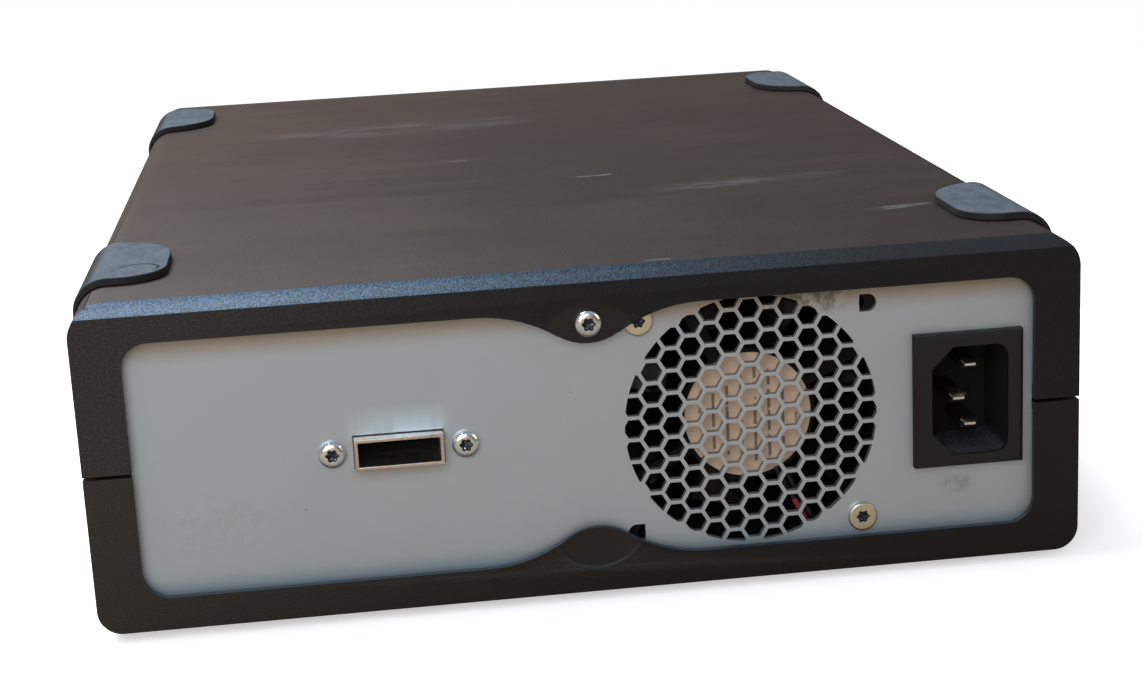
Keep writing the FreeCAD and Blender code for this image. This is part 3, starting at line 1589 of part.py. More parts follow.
def make_drive_bezel():
    """The drive's own front with the cartridge slot, door pivots, eject button and lights."""
    body = blank_body("DriveFront")
    pad_box(
        body,
        ("drive_left", "drive_right"),
        ("front_face", "drive_front"),
        ("drive_bottom", "drive_top"),
    )
    soften(
        body,
        "slot_edge",
        lambda edge: all(abs(spot.Point.y - size("front_face")) < 0.01 for spot in edge.Vertexes),
    )
    pocket(
        body, "y", "front_face", "drive_bezel_thickness",
        lambda sketch: rectangle(
            sketch, ("drive_x - slot_width / 2", "drive_x + slot_width / 2"), ("slot_bottom", "slot_top")
        ),
    )
    pocket(
        body, "y", "front_face", "drive_bezel_thickness",
        lambda sketch: rectangle(sketch, EJECT_X, EJECT_Z),
    )
    half = "slot_width / 2"
    pins = [
        cylinder("x", ("hinge_y", "hinge_z"), "door_pin_radius + shaft_play", span)
        for span in (
            (f"drive_x - {half} - door_pin_length - 0.2", f"drive_x - {half}"),
            (f"drive_x + {half}", f"drive_x + {half} + door_pin_length + 0.2"),
        )
    ]
    node(cut(body, *pins), "drive_bezel")
    door = box(
        (f"drive_x - {half} + fit_gap", f"drive_x + {half} - fit_gap"),
        ("door_front", "door_front + door_thickness"),
        ("slot_bottom + fit_gap", "hinge_z"),
    )
    barrel = cylinder(
        "x", ("hinge_y", "hinge_z"), "door_pin_radius",
        (f"drive_x - {half} - door_pin_length", f"drive_x + {half} + door_pin_length"),
    )
    node(fuse(door, barrel), "cartridge_door")
    cap = box(
        ("eject_left + fit_gap", "eject_right - fit_gap"),
        ("front_face", "drive_front"),
        ("eject_bottom + fit_gap", "eject_top - fit_gap"),
    )
    flange = box(
        ("eject_left - eject_flange", "eject_right + eject_flange"),
        ("drive_front", "drive_front + eject_flange_depth"),
        ("eject_bottom - eject_flange", "eject_top + eject_flange"),
    )
    node(fuse(cap, flange), "eject_button")


def make_loader():
    """The gantry that slides on the rails and the sheet cage that drops inside it."""
    left = "drive_x - cage_width / 2 - loader_play"
    right = "drive_x + cage_width / 2 + loader_play"
    sides = [
        box(
            span,
            ("loader_front", "loader_front + loader_length"),
            ("deck_top + fit_gap", "cage_top + loader_play"),
        )
        for span in ((f"{left} - loader_thickness", left), (right, f"{right} + loader_thickness"))
    ]
    bridge_rear = "loader_front + loader_length - bridge_inset"
    bridge = box(
        (f"{left} - loader_thickness", f"{right} + loader_thickness"),
        (f"{bridge_rear} - bridge_width", bridge_rear),
        ("cage_top + loader_play", "cage_top + loader_play + loader_thickness"),
    )
    node(fuse(*sides, bridge), "loader_slide")
    half = "cage_width / 2"
    rear = "cage_front + cage_length"
    outer = box(
        (f"drive_x - {half}", f"drive_x + {half}"), ("cage_front", rear), ("cage_bottom", "cage_top")
    )
    inside = box(
        (f"drive_x - {half} + cage_sheet", f"drive_x + {half} - cage_sheet"),
        ("cage_front - 1", f"{rear} - cage_sheet"),
        ("cage_bottom + cage_sheet", "cage_top - cage_sheet"),
    )
    roof = box(
        (f"drive_x - {half} + cage_rim", f"drive_x + {half} - cage_rim"),
        ("cage_front - 1", f"{rear} - cage_rim"),
        ("cage_top - cage_sheet - 1", "cage_top + 1"),
    )
    reach = "(supply_hub_radius + cage_slot_margin)"
    floor_slot = box(
        (f"drive_x - {reach}", f"drive_x + {reach}"),
        (f"spindle_y - {reach} - loader_travel", f"spindle_y + {reach}"),
        ("cage_bottom - 1", "cage_bottom + cage_sheet + 1"),
    )
    ear_reach = f"{half} + loader_play - cage_ear_gap"
    ear_rear = f"{rear} - cage_ear_inset"
    ears = [
        box(
            span,
            (f"{ear_rear} - cage_ear_length", ear_rear),
            ("cage_top - cage_ear_drop - cage_ear_height", "cage_top - cage_ear_drop"),
        )
        for span in (
            (f"drive_x - ({ear_reach})", f"drive_x - {half}"),
            (f"drive_x + {half}", f"drive_x + {ear_reach}"),
        )
    ]
    node(fuse(cut(outer, inside, roof, floor_slot), *ears), "cartridge_cage")


def make_reels():
    """Two motors under the deck, the toothed hub under the cartridge and the take-up reel."""
    motors = []
    for spot, top in ((SPINDLE, "hub_top"), (REEL, "reel_bottom + reel_gap")):
        motors.append(
            fuse(
                cylinder("z", spot, "motor_radius", ("deck_bottom - motor_height", "deck_bottom")),
                cylinder("z", spot, "spindle_radius", ("deck_bottom - motor_height", top)),
            )
        )
    node(group(*motors), "reel_motors")
    hub = new_body("supply_hub")
    plate = sketch_on(hub, "z", "hub_bottom")
    circle(plate, "0", "0", "supply_hub_radius")
    circle(plate, "0", "0", "spindle_radius + shaft_play")
    extrude(hub, plate, "z", "supply_hub_height - tooth_height")
    tooth = sketch_on(hub, "z", "hub_top - tooth_height")
    polygon(
        tooth,
        [
            ("tooth_reach - tooth_length", "-tooth_root_width / 2"),
            ("tooth_reach", "-tooth_tip_width / 2"),
            ("tooth_reach", "tooth_tip_width / 2"),
            ("tooth_reach - tooth_length", "tooth_root_width / 2"),
        ],
    )
    ring_of(hub, [extrude(hub, tooth, "z", "tooth_height")], "Z_Axis", "gear_tooth_count")
    place(hub, "drive_x", "spindle_y", "0")
    reel = new_body("takeup_reel")
    revolve(
        reel,
        [
            ("spindle_radius + shaft_play", "0"),
            ("reel_radius", "0"),
            ("reel_radius", "reel_flange"),
            ("reel_hub_radius", "reel_flange"),
            ("reel_hub_radius", "reel_flange + reel_gap"),
            ("reel_radius", "reel_flange + reel_gap"),
            ("reel_radius", "2 * reel_flange + reel_gap"),
            ("reel_hub_radius - reel_web", "2 * reel_flange + reel_gap"),
            ("reel_hub_radius - reel_web - 2", "reel_flange + reel_web"),
            ("spindle_radius + reel_web + 1", "reel_flange + reel_web"),
            ("spindle_radius + reel_web", "reel_gap"),
            ("spindle_radius + shaft_play", "reel_gap"),
        ],
    )
    place(reel, *REEL, "reel_bottom", UPRIGHT)


def make_tape_path():
    """Four flanged rollers on posts, and the head on its two guide rods between them."""
    for number, (x, y) in enumerate(ROLLERS, start=1):
        roller = new_body(f"guide_roller_{number}")
        revolve(
            roller,
            [
                ("post_radius + shaft_play", "0"),
                ("roller_radius + roller_rim", "0"),
                ("roller_radius", "roller_rim"),
                ("roller_radius", "roller_height - roller_rim"),
                ("roller_radius + roller_rim", "roller_height"),
                ("post_radius + shaft_play", "roller_height"),
            ],
        )
        place(roller, f"drive_x + {x}", y, "roller_bottom", UPRIGHT)
    body = blank_body("HeadBlock")
    ends = ("head_y - head_length / 2", "head_y + head_length / 2")
    pad_box(
        body,
        ("head_x - head_width / 2", "head_x + head_width / 2"),
        ends,
        ("deck_top + head_lift", "deck_top + head_lift + head_height"),
    )
    soften(body, "head_nose", edge_along("z", x=["head_x + head_width / 2"], y=ends))
    bore_span = ("deck_top", "deck_top + head_lift + head_height + 1")
    rod_span = ("deck_bottom", "deck_top + head_rod_height")
    bores = [cylinder("z", spot, "head_rod_radius + shaft_play", bore_span) for spot in HEAD_RODS]
    node(cut(body, *bores), "tape_head")
    rods = [cylinder("z", spot, "head_rod_radius", rod_span) for spot in HEAD_RODS]
    node(group(*rods), "head_rods")


def make_threader():
    """A rod on two blocks by the side wall, and the grabber that carries the leader along it."""
    wall = "drive_right - drive_wall"
    centre = ("thread_centre_x", "thread_z")
    block_spans = (
        ("thread_front", "thread_front + thread_block"),
        ("thread_rear - thread_block", "thread_rear"),
    )
    blocks = [
        box(
            ("thread_centre_x - thread_block_reach", wall),
            span,
            ("thread_z - thread_block_half", "thread_z + thread_block_half"),
        )
        for span in block_spans
    ]
    rod = cylinder("y", centre, "thread_rod_radius", ("thread_front", "thread_rear"))
    node(fuse(*blocks, rod), "threader_rail")
    start = "thread_front + thread_block + fit_gap"
    end = f"{start} + grabber_length"
    levels = ("thread_z - grabber_half", "thread_z + grabber_half")
    face = "thread_centre_x - grabber_reach"
    block = box((face, "thread_centre_x + grabber_back"), (start, end), levels)
    bore = cylinder(
        "y", centre, "thread_rod_radius + shaft_play", (f"{start} - 1", f"{end} + 1")
    )
    hook = box((f"{face} - grabber_hook", face), (start, f"{start} + grabber_hook_length"), levels)
    node(cut(fuse(block, hook), bore), "threader")


def make_drive_boards():
    """The main board under the deck, round both motors, and the plugs at the drive's rear."""
    board = box(
        ("drive_left + drive_wall + 1", "drive_right - drive_wall - 1"),
        ("drive_front + eject_room", "drive_rear - 1"),
        ("main_board_bottom", "main_board_top"),
    )
    span = ("main_board_bottom - 1", "main_board_top + 1")
    holes = [
        cylinder("z", spot, "motor_radius + motor_clearance", span) for spot in (SPINDLE, REEL)
    ]
    node(cut(board, *holes), "main_board")
    plugs = [
        box(
            (f"{x} - plug_width / 2", f"{x} + plug_width / 2"),
            ("drive_rear", "drive_rear + plug_depth"),
            (f"{z} - plug_height / 2", f"{z} + plug_height / 2"),
        )
        for x, z in (("data_plug_x", "data_plug_z"), ("power_plug_x", "power_plug_z"))
    ]
    node(group(*plugs), "drive_plugs")


def make_brackets():
    """Sheet angles that carry the drive by its side screws, their feet on the tray."""
    for hand, face, way in (("left", "drive_left", -1), ("right", "drive_right", 1)):
        outer = f"{face} + {way} * bracket_thickness"
        inner = f"{face} - {way} * bracket_foot"
        wall = (outer, face) if way < 0 else (face, outer)
        foot = (outer, inner) if way < 0 else (inner, outer)
        span = ("bracket_front", "bracket_front + bracket_length")
        upright = box(wall, span, ("tray_top", "tray_top + bracket_height"))
        base = box(foot, span, ("tray_top", "tray_top + bracket_thickness"))
        through = (f"{wall[0]} - 1", f"{wall[1]} + 1")
        holes = [cylinder("x", spot, "hole_radius", through) for spot in DRIVE_SCREWS]
        node(cut(fuse(upright, base), *holes), f"drive_bracket_{hand}")


make_upper_shell()
make_lower_shell()
make_corner_pads()
make_rear_panel()
make_tray()
make_front_bezel()
make_screws()
make_fan()
make_inlet()
make_port()
make_supply()
make_power_button()
make_drive_base()
make_drive_bezel()
make_loader()
make_reels()
make_tape_path()
make_threader()
make_drive_boards()
make_brackets()
doc.recompute()


def finish():
    for item in doc.Objects:
        if "Invalid" in item.State or "Error" in item.State:
            raise RuntimeError(f"{item.Name} ({item.Label}) did not build: {item.State}")
    os.makedirs("parts", exist_ok=True)
    for item in nodes:
        shape = item.Shape
        if shape.isNull() or not shape.isValid():
            raise RuntimeError(f"{item.Label} is not a valid solid")
        shape.exportStep(f"parts/{item.Label}.step")
        print(item.Label, len(shape.Solids), round(shape.Volume), shape.BoundBox)


finish()
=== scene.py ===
"""The looks of a desktop data tape drive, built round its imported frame.

Metres throughout, in the frame's own axes: +Z is up, the ported rear faces +Y and the
drive's front faces -Y. Sizes held by the classes are millimetres, turned into metres by MM.
"""

from __future__ import annotations

import json
import logging
import math
from dataclasses import dataclass, field
from enum import Enum
from typing import Any, Callable, ClassVar

import bmesh
import bpy
import numpy as np
from mathutils import Matrix, Vector

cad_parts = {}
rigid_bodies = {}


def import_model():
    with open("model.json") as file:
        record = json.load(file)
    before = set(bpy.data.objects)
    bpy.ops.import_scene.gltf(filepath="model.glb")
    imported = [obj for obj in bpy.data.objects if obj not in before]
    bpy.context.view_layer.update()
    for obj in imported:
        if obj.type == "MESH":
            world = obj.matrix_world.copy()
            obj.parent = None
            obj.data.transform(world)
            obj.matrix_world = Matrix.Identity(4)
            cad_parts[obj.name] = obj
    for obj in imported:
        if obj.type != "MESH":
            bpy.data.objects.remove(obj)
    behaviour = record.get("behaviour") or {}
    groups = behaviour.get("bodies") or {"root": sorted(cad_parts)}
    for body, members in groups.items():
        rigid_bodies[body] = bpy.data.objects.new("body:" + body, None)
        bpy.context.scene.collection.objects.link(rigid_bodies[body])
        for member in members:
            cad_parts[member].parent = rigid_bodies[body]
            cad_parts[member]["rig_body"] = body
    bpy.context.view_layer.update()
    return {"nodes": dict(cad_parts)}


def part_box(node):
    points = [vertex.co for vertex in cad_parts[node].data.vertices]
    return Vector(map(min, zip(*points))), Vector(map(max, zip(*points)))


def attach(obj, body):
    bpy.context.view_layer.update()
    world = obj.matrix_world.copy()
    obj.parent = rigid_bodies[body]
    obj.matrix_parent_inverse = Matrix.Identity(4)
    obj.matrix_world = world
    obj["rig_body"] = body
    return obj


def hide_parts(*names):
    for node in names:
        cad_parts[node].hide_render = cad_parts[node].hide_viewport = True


LOG = logging.getLogger("tape_drive")
MM = 0.001
WIRE_NUMBER = "wire_number"
SOCKET_DEPTH = "socket_depth"
DOUBLED = 1e-6  # metres within which two points are one
FLAT = 0.5  # degrees within which two faces lie in one plane
CREASE = 35.0  # degrees, the sharpest edge that still reads as round
HARD_EDGE = 40.0  # degrees, the least turn that is eased
WHITE = (1.0, 1.0, 1.0)

Colour = tuple[float, float, float]
Spot = tuple[float, float, float]
Span = tuple[float, float]
Table = dict[Any, Any]

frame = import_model()


# ------------------------------------------------------------------------- shader maths
def operator(operation: str, reflected: bool = False) -> Callable[[Wire, Wire | float], Wire]:
    """A wire's method for one operation of the Math node.

    Args:
        operation: The operation.
        reflected: Whether the other term comes first.

    Returns:
        The method.
    """

    def apply(wire: Wire, other: Wire | float) -> Wire:
        """Lay the Math node over the wire and the other term."""
        return wire.shade.maths(operation, *((other, wire) if reflected else (wire, other)))

    return apply


class Wire:
    """A node's output socket that ordinary arithmetic can be written on.

    Over is 1 where the wire is greater than the other term, and most is the greater one.
    """

    __add__ = __radd__ = operator("ADD")
    __sub__ = operator("SUBTRACT")
    __rsub__ = operator("SUBTRACT", reflected=True)
    __mul__ = __rmul__ = operator("MULTIPLY")
    __truediv__ = operator("DIVIDE")
    __rtruediv__ = operator("DIVIDE", reflected=True)
    __pow__ = operator("POWER")
    __rpow__ = operator("POWER", reflected=True)
    over = operator("GREATER_THAN")
    most = operator("MAXIMUM")

    def __init__(self, shade: Shade, socket: bpy.types.NodeSocket) -> None:
        """Hold the socket and the material it belongs to."""
        self.shade = shade
        self.socket = socket

    def swing(self, span: float) -> Wire:
        """A value from 0 to 1 laid evenly round 0, as wide as the span."""
        return (self - 0.5) * span

    def ramp(self, low: float, high: float) -> Wire:
        """Rise smoothly from 0 at low to 1 at high, or fall where low is the greater.

        Args:
            low: Where the result is 0.
            high: Where the result is 1.

        Returns:
            The smooth step.
        """
        sockets = {"Value": self, "From Min": min(low, high), "From Max": max(low, high)}
        settings = {"interpolation_type": "SMOOTHSTEP"}
        rise = self.shade.node("MapRange", settings, sockets, "Result")
        return 1 - rise if low > high else rise


def distance(across: Wire, along: Wire) -> Wire:
    """The root of the sum of two squares."""
    return (across * across + along * along) ** 0.5


def soft_spot(across: Wire, along: Wire) -> Wire:
    """A smooth fall of p^2 + q^2, from 1 where both p and q are 0 to 0 where it reaches 1."""
    return (across * across + along * along).ramp(1.0, 0.0)


class Shade:
    """One material while its nodes are being laid."""

    def __init__(self, name: str) -> None:
        """Start a material with one Principled shader."""
        self.material = bpy.data.materials.new(name)
        self.start(self.material, "ShaderNodeOutputMaterial")
        self.surface = self.node("BsdfPrincipled")
        self.close(self.surface)

    @classmethod
    def of_world(cls, world: bpy.types.World) -> Shade:
        """The same helper over a world's nodes."""
        made = cls.__new__(cls)
        made.start(world, "ShaderNodeOutputWorld")
        return made

    def start(self, holder: bpy.types.ID, output: str) -> None:
        """Clear the nodes of a material or a world and give it an output of that type."""
        holder.use_nodes = True
        self.tree = holder.node_tree
        self.tree.nodes.clear()
        self.output = self.tree.nodes.new(output)
        self._place: Wire | None = None

    def close(self, shader: Wire) -> None:
        """Lead a shader to the output."""
        self.feed(self.output.inputs["Surface"], shader)

    def feed(self, socket: bpy.types.NodeSocket, value: Any) -> None:
        """Link a wire to a socket, or set the socket's own value."""
        if isinstance(value, Wire):
            self.tree.links.new(value.socket, socket)
        elif isinstance(value, tuple) and len(value) == 3 and socket.type == "RGBA":
            socket.default_value = (*value, 1.0)
        else:
            socket.default_value = value

    def node(
        self,
        kind: str,
        settings: Table | None = None,
        sockets: Table | None = None,
        output: str | int = 0,
    ) -> Wire:
        """Add a node, its settings first and its sockets after them.

        Args:
            kind: The node's type, less the first words that all shader nodes share.
            settings: Its own properties.
            sockets: Values or wires for its inputs, by name or number.
            output: The output to read.

        Returns:
            That output.
        """
        made = self.tree.nodes.new(f"ShaderNode{kind}")
        for key, value in (settings or {}).items():
            setattr(made, key, value)
        for key, value in (sockets or {}).items():
            self.feed(made.inputs[key], value)
        return Wire(self, made.outputs[output])

    def maths(self, operation: str, *terms: Wire | float) -> Wire:
        """One Math node over the terms in order."""
        return self.node("Math", {"operation": operation}, dict(enumerate(terms)))

    def set(self, **values: Any) -> None:
        """Feed the shader's sockets; an underscore in a name stands for a space."""
        for key, value in values.items():
            self.feed(self.surface.socket.node.inputs[key.replace("_", " ")], value)

    def place(self) -> Wire:
        """The object's own coordinates, in metres."""
        if self._place is None:
            self._place = self.node("TexCoord", output="Object")
        return self._place

    def parts(self, vector: Wire) -> tuple[Wire, Wire, Wire]:
        """A vector's three parts."""
        split = self.node("SeparateXYZ", sockets={0: vector}).socket.node
        return tuple(Wire(self, part) for part in split.outputs)

    def axes(self) -> tuple[Wire, Wire, Wire]:
        """The three coordinates in millimetres."""
        return tuple(part * (1 / MM) for part in self.parts(self.place()))

    def facing(self) -> tuple[Wire, Wire, Wire]:
        """The surface normal's three parts."""
        return self.parts(self.node("NewGeometry", output="Normal"))

    def carried(self, layer: str) -> Wire:
        """A value that the mesh's points carry."""
        return self.node("Attribute", {"attribute_name": layer}, output="Fac")

    def stretched(self, scale: Spot, turn: float = 0.0) -> Wire:
        """The coordinates stretched on each axis, after a turn about Z in degrees."""
        turned = (0.0, 0.0, math.radians(turn))
        sockets = {"Vector": self.place(), "Rotation": turned, "Scale": scale}
        return self.node("Mapping", {"vector_type": "POINT"}, sockets)

    def noise(
        self, grain: float, detail: float = 2.0, rough: float = 0.5, at: Wire | None = None
    ) -> Wire:
        """Cloudy noise from 0 to 1.

        Args:
            grain: The size of a blotch, in millimetres.
            detail: How many finer layers it has.
            rough: How strong those are.
            at: Coordinates, if not the object's own.

        Returns:
            The noise.
        """
        sockets = {"Vector": at or self.place(), "Scale": 1 / (grain * MM)}
        return self.node("TexNoise", {}, {**sockets, "Detail": detail, "Roughness": rough})

    def cells(
        self, pitch: float, feature: str = "F1", at: Wire | None = None, output: str = "Distance"
    ) -> Wire:
        """Voronoi cells: a distance of 0 at each centre, or another output.

        Args:
            pitch: The mean distance between centres, in millimetres.
            feature: The Voronoi feature.
            at: Coordinates, if not the object's own.
            output: The output to read.

        Returns:
            The chosen output.
        """
        sockets = {"Vector": at or self.place(), "Scale": 1 / (pitch * MM)}
        return self.node("TexVoronoi", {"feature": feature}, sockets, output)

    def mix(self, mask: Wire | float, low: Any, high: Any) -> Wire:
        """Blend two colours by a mask."""
        return self.node("Mix", {"data_type": "RGBA"}, {0: mask, 6: low, 7: high}, 2)

    def coats(self, tone: Any, *coats: tuple[Wire, Any]) -> Any:
        """Lay colours over a tone one after another, each by its own mask."""
        for mask, colour in coats:
            tone = self.mix(mask, tone, colour)
        return tone

    def cross(self, mask: Wire, first: Wire, second: Wire) -> Wire:
        """Blend two shaders by a mask."""
        return self.node("MixShader", {}, {0: mask, 1: first, 2: second})

    def seen(self) -> Wire:
        """1 to the eye and 0 to light and reflections."""
        return self.node("LightPath", output="Is Camera Ray")

    def tint(self, colour: Any, by: Wire | float) -> Wire:
        """Multiply a colour by one factor."""
        return self.node("VectorMath", {"operation": "SCALE"}, {0: colour, "Scale": by})

    def bump(self, height: Wire, depth: float, strength: float, **below: Wire) -> Wire:
        """Raise the surface by a height field.

        Args:
            height: 0 to 1.
            depth: What a height of 1 stands for, in millimetres.
            strength: How much of it shows.
            below: A coarser bump that this one lies on, as Normal.

        Returns:
            The bent normal.
        """
        sockets = {"Height": height, "Distance": depth * MM, "Strength": strength}
        return self.node("Bump", {}, {**sockets, **below})


# ------------------------------------------------------------------------------ finishes
@dataclass(frozen=True)
class Finish:
    """A surface finish; each kind below says how its nodes are laid."""

    name: str
    colour: Colour
    roughness: float

    def draw(self, shade: Shade) -> None:
        """Lay the finish's nodes."""
        raise NotImplementedError(self.name)

    def tones(self, shade: Shade, mask: Wire, low: float, high: float) -> Wire:
        """The finish's own colour, from its low multiple to its high one by a mask."""
        return shade.mix(mask, scaled(self.colour, low), scaled(self.colour, high))

    def material(self) -> bpy.types.Material:
        """The finished material, made once and then shared."""
        found = bpy.data.materials.get(self.name)
        if found is None:
            shade = Shade(self.name)
            self.draw(shade)
            found = shade.material
        return found


def scaled(colour: Colour, factor: float) -> Colour:
    """A colour made lighter or darker."""
    return tuple(min(1.0, part * factor) for part in colour)


@dataclass(frozen=True)
class Moulded(Finish):
    """Injection-moulded plastic: spark-eroded grain, faint flow marks, a few dust specks."""

    grain: float = 0.35
    depth: float = 0.03
    flow: float = 0.12
    dust: float = 0.0
    sheen: float = 0.5
    # The Y of a socket's mouth; the cavity short of it gets painted shade.
    mouth: float = 0.0
    lint: Colour = (0.05, 0.065, 0.08)
    fluff: Colour = (0.35, 0.34, 0.33)

    def draw(self, shade: Shade) -> None:
        """Mix a cloudy tone and raise the grain; short of the mouth's Y lies painted shade."""
        cloud = shade.noise(22.0, 4.0, 0.6)
        pits = shade.noise(self.grain, 3.0, 0.65)
        tone = self.tones(shade, cloud, 1 - self.flow, 1 + self.flow)
        roughness = cloud.swing(0.12) + pits.swing(0.1) + self.roughness
        if self.mouth:
            _, y, _ = shade.axes()
            _, _, up = shade.facing()
            # Painted shade: the cavity short of the mouth drops to a fifth of the colour and is
            # duller.
            shaded_cavity = y.ramp(self.mouth, self.mouth - 0.6)
            fallen = up.ramp(0.3, 0.9) * shaded_cavity * pits.ramp(0.4, 0.6)
            tone = shade.coats(tone, (shaded_cavity, scaled(self.colour, 0.2)), (fallen, self.lint))
            roughness = roughness + shaded_cavity * 0.4
        if self.dust:
            specks = shade.cells(2.6).ramp(0.05, 0.0) * shade.noise(9.0).ramp(0.45, 0.7)
            tone = shade.mix(specks * self.dust, tone, self.fluff)
        normal = shade.bump(pits, self.depth, 0.6)
        level = self.sheen
        shade.set(Base_Color=tone, Roughness=roughness, Normal=normal, Specular_IOR_Level=level)


@dataclass(frozen=True)
class Metal(Finish):
    """Bare or plated metal with fine drawn lines and a mottled lustre."""

    lines: Spot = (1.0, 1.0, 1.0)
    mottle: float = 0.08
    scratch: float = 0.04
    grain: float = 1.6

    def draw(self, shade: Shade) -> None:
        """Lay mottling and drawn lines over a metallic base."""
        cloud = shade.noise(self.grain * 4, 3.0)
        drawn = shade.noise(self.grain, 2.0, 0.6, shade.stretched(self.lines))
        shade.set(
            Base_Color=self.tones(shade, cloud, 1 - self.mottle, 1 + self.mottle),
            Metallic=1.0,
            Roughness=cloud.swing(0.16) + drawn.swing(0.12) + self.roughness,
            Normal=shade.bump(drawn, self.scratch, 0.35),
        )


@dataclass(frozen=True)
class BladeMetal(Metal):
    """A contact blade: bright where it looks out of its socket, with painted shade on its flanks.
    """

    # The flanks' painted shade.
    flank: Colour = (0.12, 0.1, 0.09)

    def draw(self, shade: Shade) -> None:
        """Painted shade on all but the tip."""
        _, out, _ = shade.facing()
        cloud = shade.noise(1.1, 3.0, 0.6)
        flank_shade = shade.mix(cloud, self.flank, scaled(self.flank, 1.8))
        shade.set(
            Base_Color=shade.mix(out.ramp(0.15, 0.45), flank_shade, self.colour),
            Metallic=1.0,
            Roughness=cloud.swing(0.1) + self.roughness,
            Normal=shade.bump(cloud, self.scratch, 0.2),
        )


@dataclass(frozen=True)
class HubPaper(Finish):
    """A paper disc with rows of plain worn bars, which say nothing."""

    depth: float = 0.02
    pitch: float = 3.2
    first_bar: float = 20.0
    clear_rim: Span = (11.6, 11.2)
    ink: Colour = (0.1, 0.075, 0.055)

    def draw(self, shade: Shade) -> None:
        """Bars down the disc, each broken at random, inside a clear rim.

        A bar lies where the place across the disc, over the pitch, has a fraction near
        a half. The first bar's number keeps that place above 0.
        """
        x, _, z = shade.axes()
        right = x - REAR.grille[0]
        rise = z - REAR.grille[2]
        column = shade.maths("FRACT", right / self.pitch + self.first_bar)
        bar = column.ramp(0.34, 0.38) * column.ramp(0.6, 0.56)
        broken = shade.noise(3.2, 2.0, 0.6, shade.stretched((0.35, 1.0, 1.0))).ramp(0.44, 0.48)
        inside = distance(right, rise).ramp(*self.clear_rim)
        cloud = shade.noise(2.6, 3.0, 0.6)
        tone = self.tones(shade, cloud, 0.86, 1.12)
        shade.set(
            Base_Color=shade.mix(bar * broken * inside * 0.8, tone, self.ink),
            Roughness=cloud.swing(0.1) + self.roughness,
            Normal=shade.bump(cloud, self.depth, 0.6),
        )


@dataclass(frozen=True)
class Plated(Metal):
    """A plated screw: clean bright head, broached socket in painted shade with painted glints."""

    # Painted shade down the socket.
    grime_and_shade: Colour = (0.04, 0.045, 0.055)
    # Painted reflection on the crown's flat top.
    crown: Colour = (0.8, 0.8, 0.8)

    def draw(self, shade: Shade) -> None:
        """Polished plating, painted shade and dull down the socket with painted glints there, its
        crown rubbed and carrying a painted reflection, and painted shade on faces that look down.
        """
        _, out, up = shade.facing()
        down = shade.carried(SOCKET_DEPTH)
        cloud = shade.noise(self.grain * 3, 2.0)
        rubbed = shade.noise(self.grain, 3.0, 0.6)
        crown = out.ramp(0.9, 0.97)
        plate = self.tones(shade, cloud, 1 - self.mottle, 1 + self.mottle)
        # Painted reflection: the crown's flat top takes the crown tone.
        plate = shade.mix(crown, plate, self.crown)
        # Painted shade: faces that look down are darker.
        plate = shade.tint(plate, up.ramp(-0.9, 0.3) * 0.6 + 0.4)
        # Painted glints in the socket's painted shade.
        glint = down * shade.cells(0.7).ramp(0.3, 0.1) * 0.5
        shade.set(
            Base_Color=shade.mix(down, plate, shade.mix(glint, self.grime_and_shade, self.colour)),
            Metallic=1.0,
            Roughness=rubbed.swing(0.12) + down * 0.15 + crown * 0.12 + self.roughness,
            Normal=shade.bump(rubbed, self.scratch, 0.25),
        )


@dataclass(frozen=True)
class Galvanised(Finish):
    """Zinc-dipped sheet: large spangles of slightly different grey."""

    spangle: float = 5.0

    def draw(self, shade: Shade) -> None:
        """Give each spangle its own tone and gloss."""
        crystal = shade.cells(self.spangle, output="Color")
        tone = shade.node("SeparateColor", {}, {0: crystal})
        haze = shade.noise(3.0, 3.0)
        shade.set(
            Base_Color=self.tones(shade, tone, 0.8, 1.15),
            Metallic=1.0,
            Roughness=tone.swing(0.18) + haze.swing(0.12) + self.roughness,
            Normal=shade.bump(haze, 0.02, 0.3),
        )


@dataclass(frozen=True)
class Mark:
    """A scuff, smear or scratch lying on the top: a stretched soft spot broken by streaks."""

    x: float
    y: float
    length: float
    width: float
    turn: float
    strength: float
    streak: float

    def mask(self, shade: Shade) -> Wire:
        """Its cover, from 0 to its strength: a soft spot, streaky along its length.

        Args:
            shade: The material it is laid in.

        Returns:
            The cover.
        """
        x, y, _ = shade.axes()
        cosine = math.cos(math.radians(self.turn))
        sine = math.sin(math.radians(self.turn))
        right = x - self.x
        ahead = y - self.y
        along = (right * cosine + ahead * sine) / (self.length / 2)
        across = (ahead * cosine - right * sine) / (self.width / 2)
        grain = shade.noise(self.streak, 4.0, 0.7, shade.stretched((0.25, 1.0, 1.0), self.turn))
        return soft_spot(along, across) * grain.ramp(0.35, 0.75) * self.strength


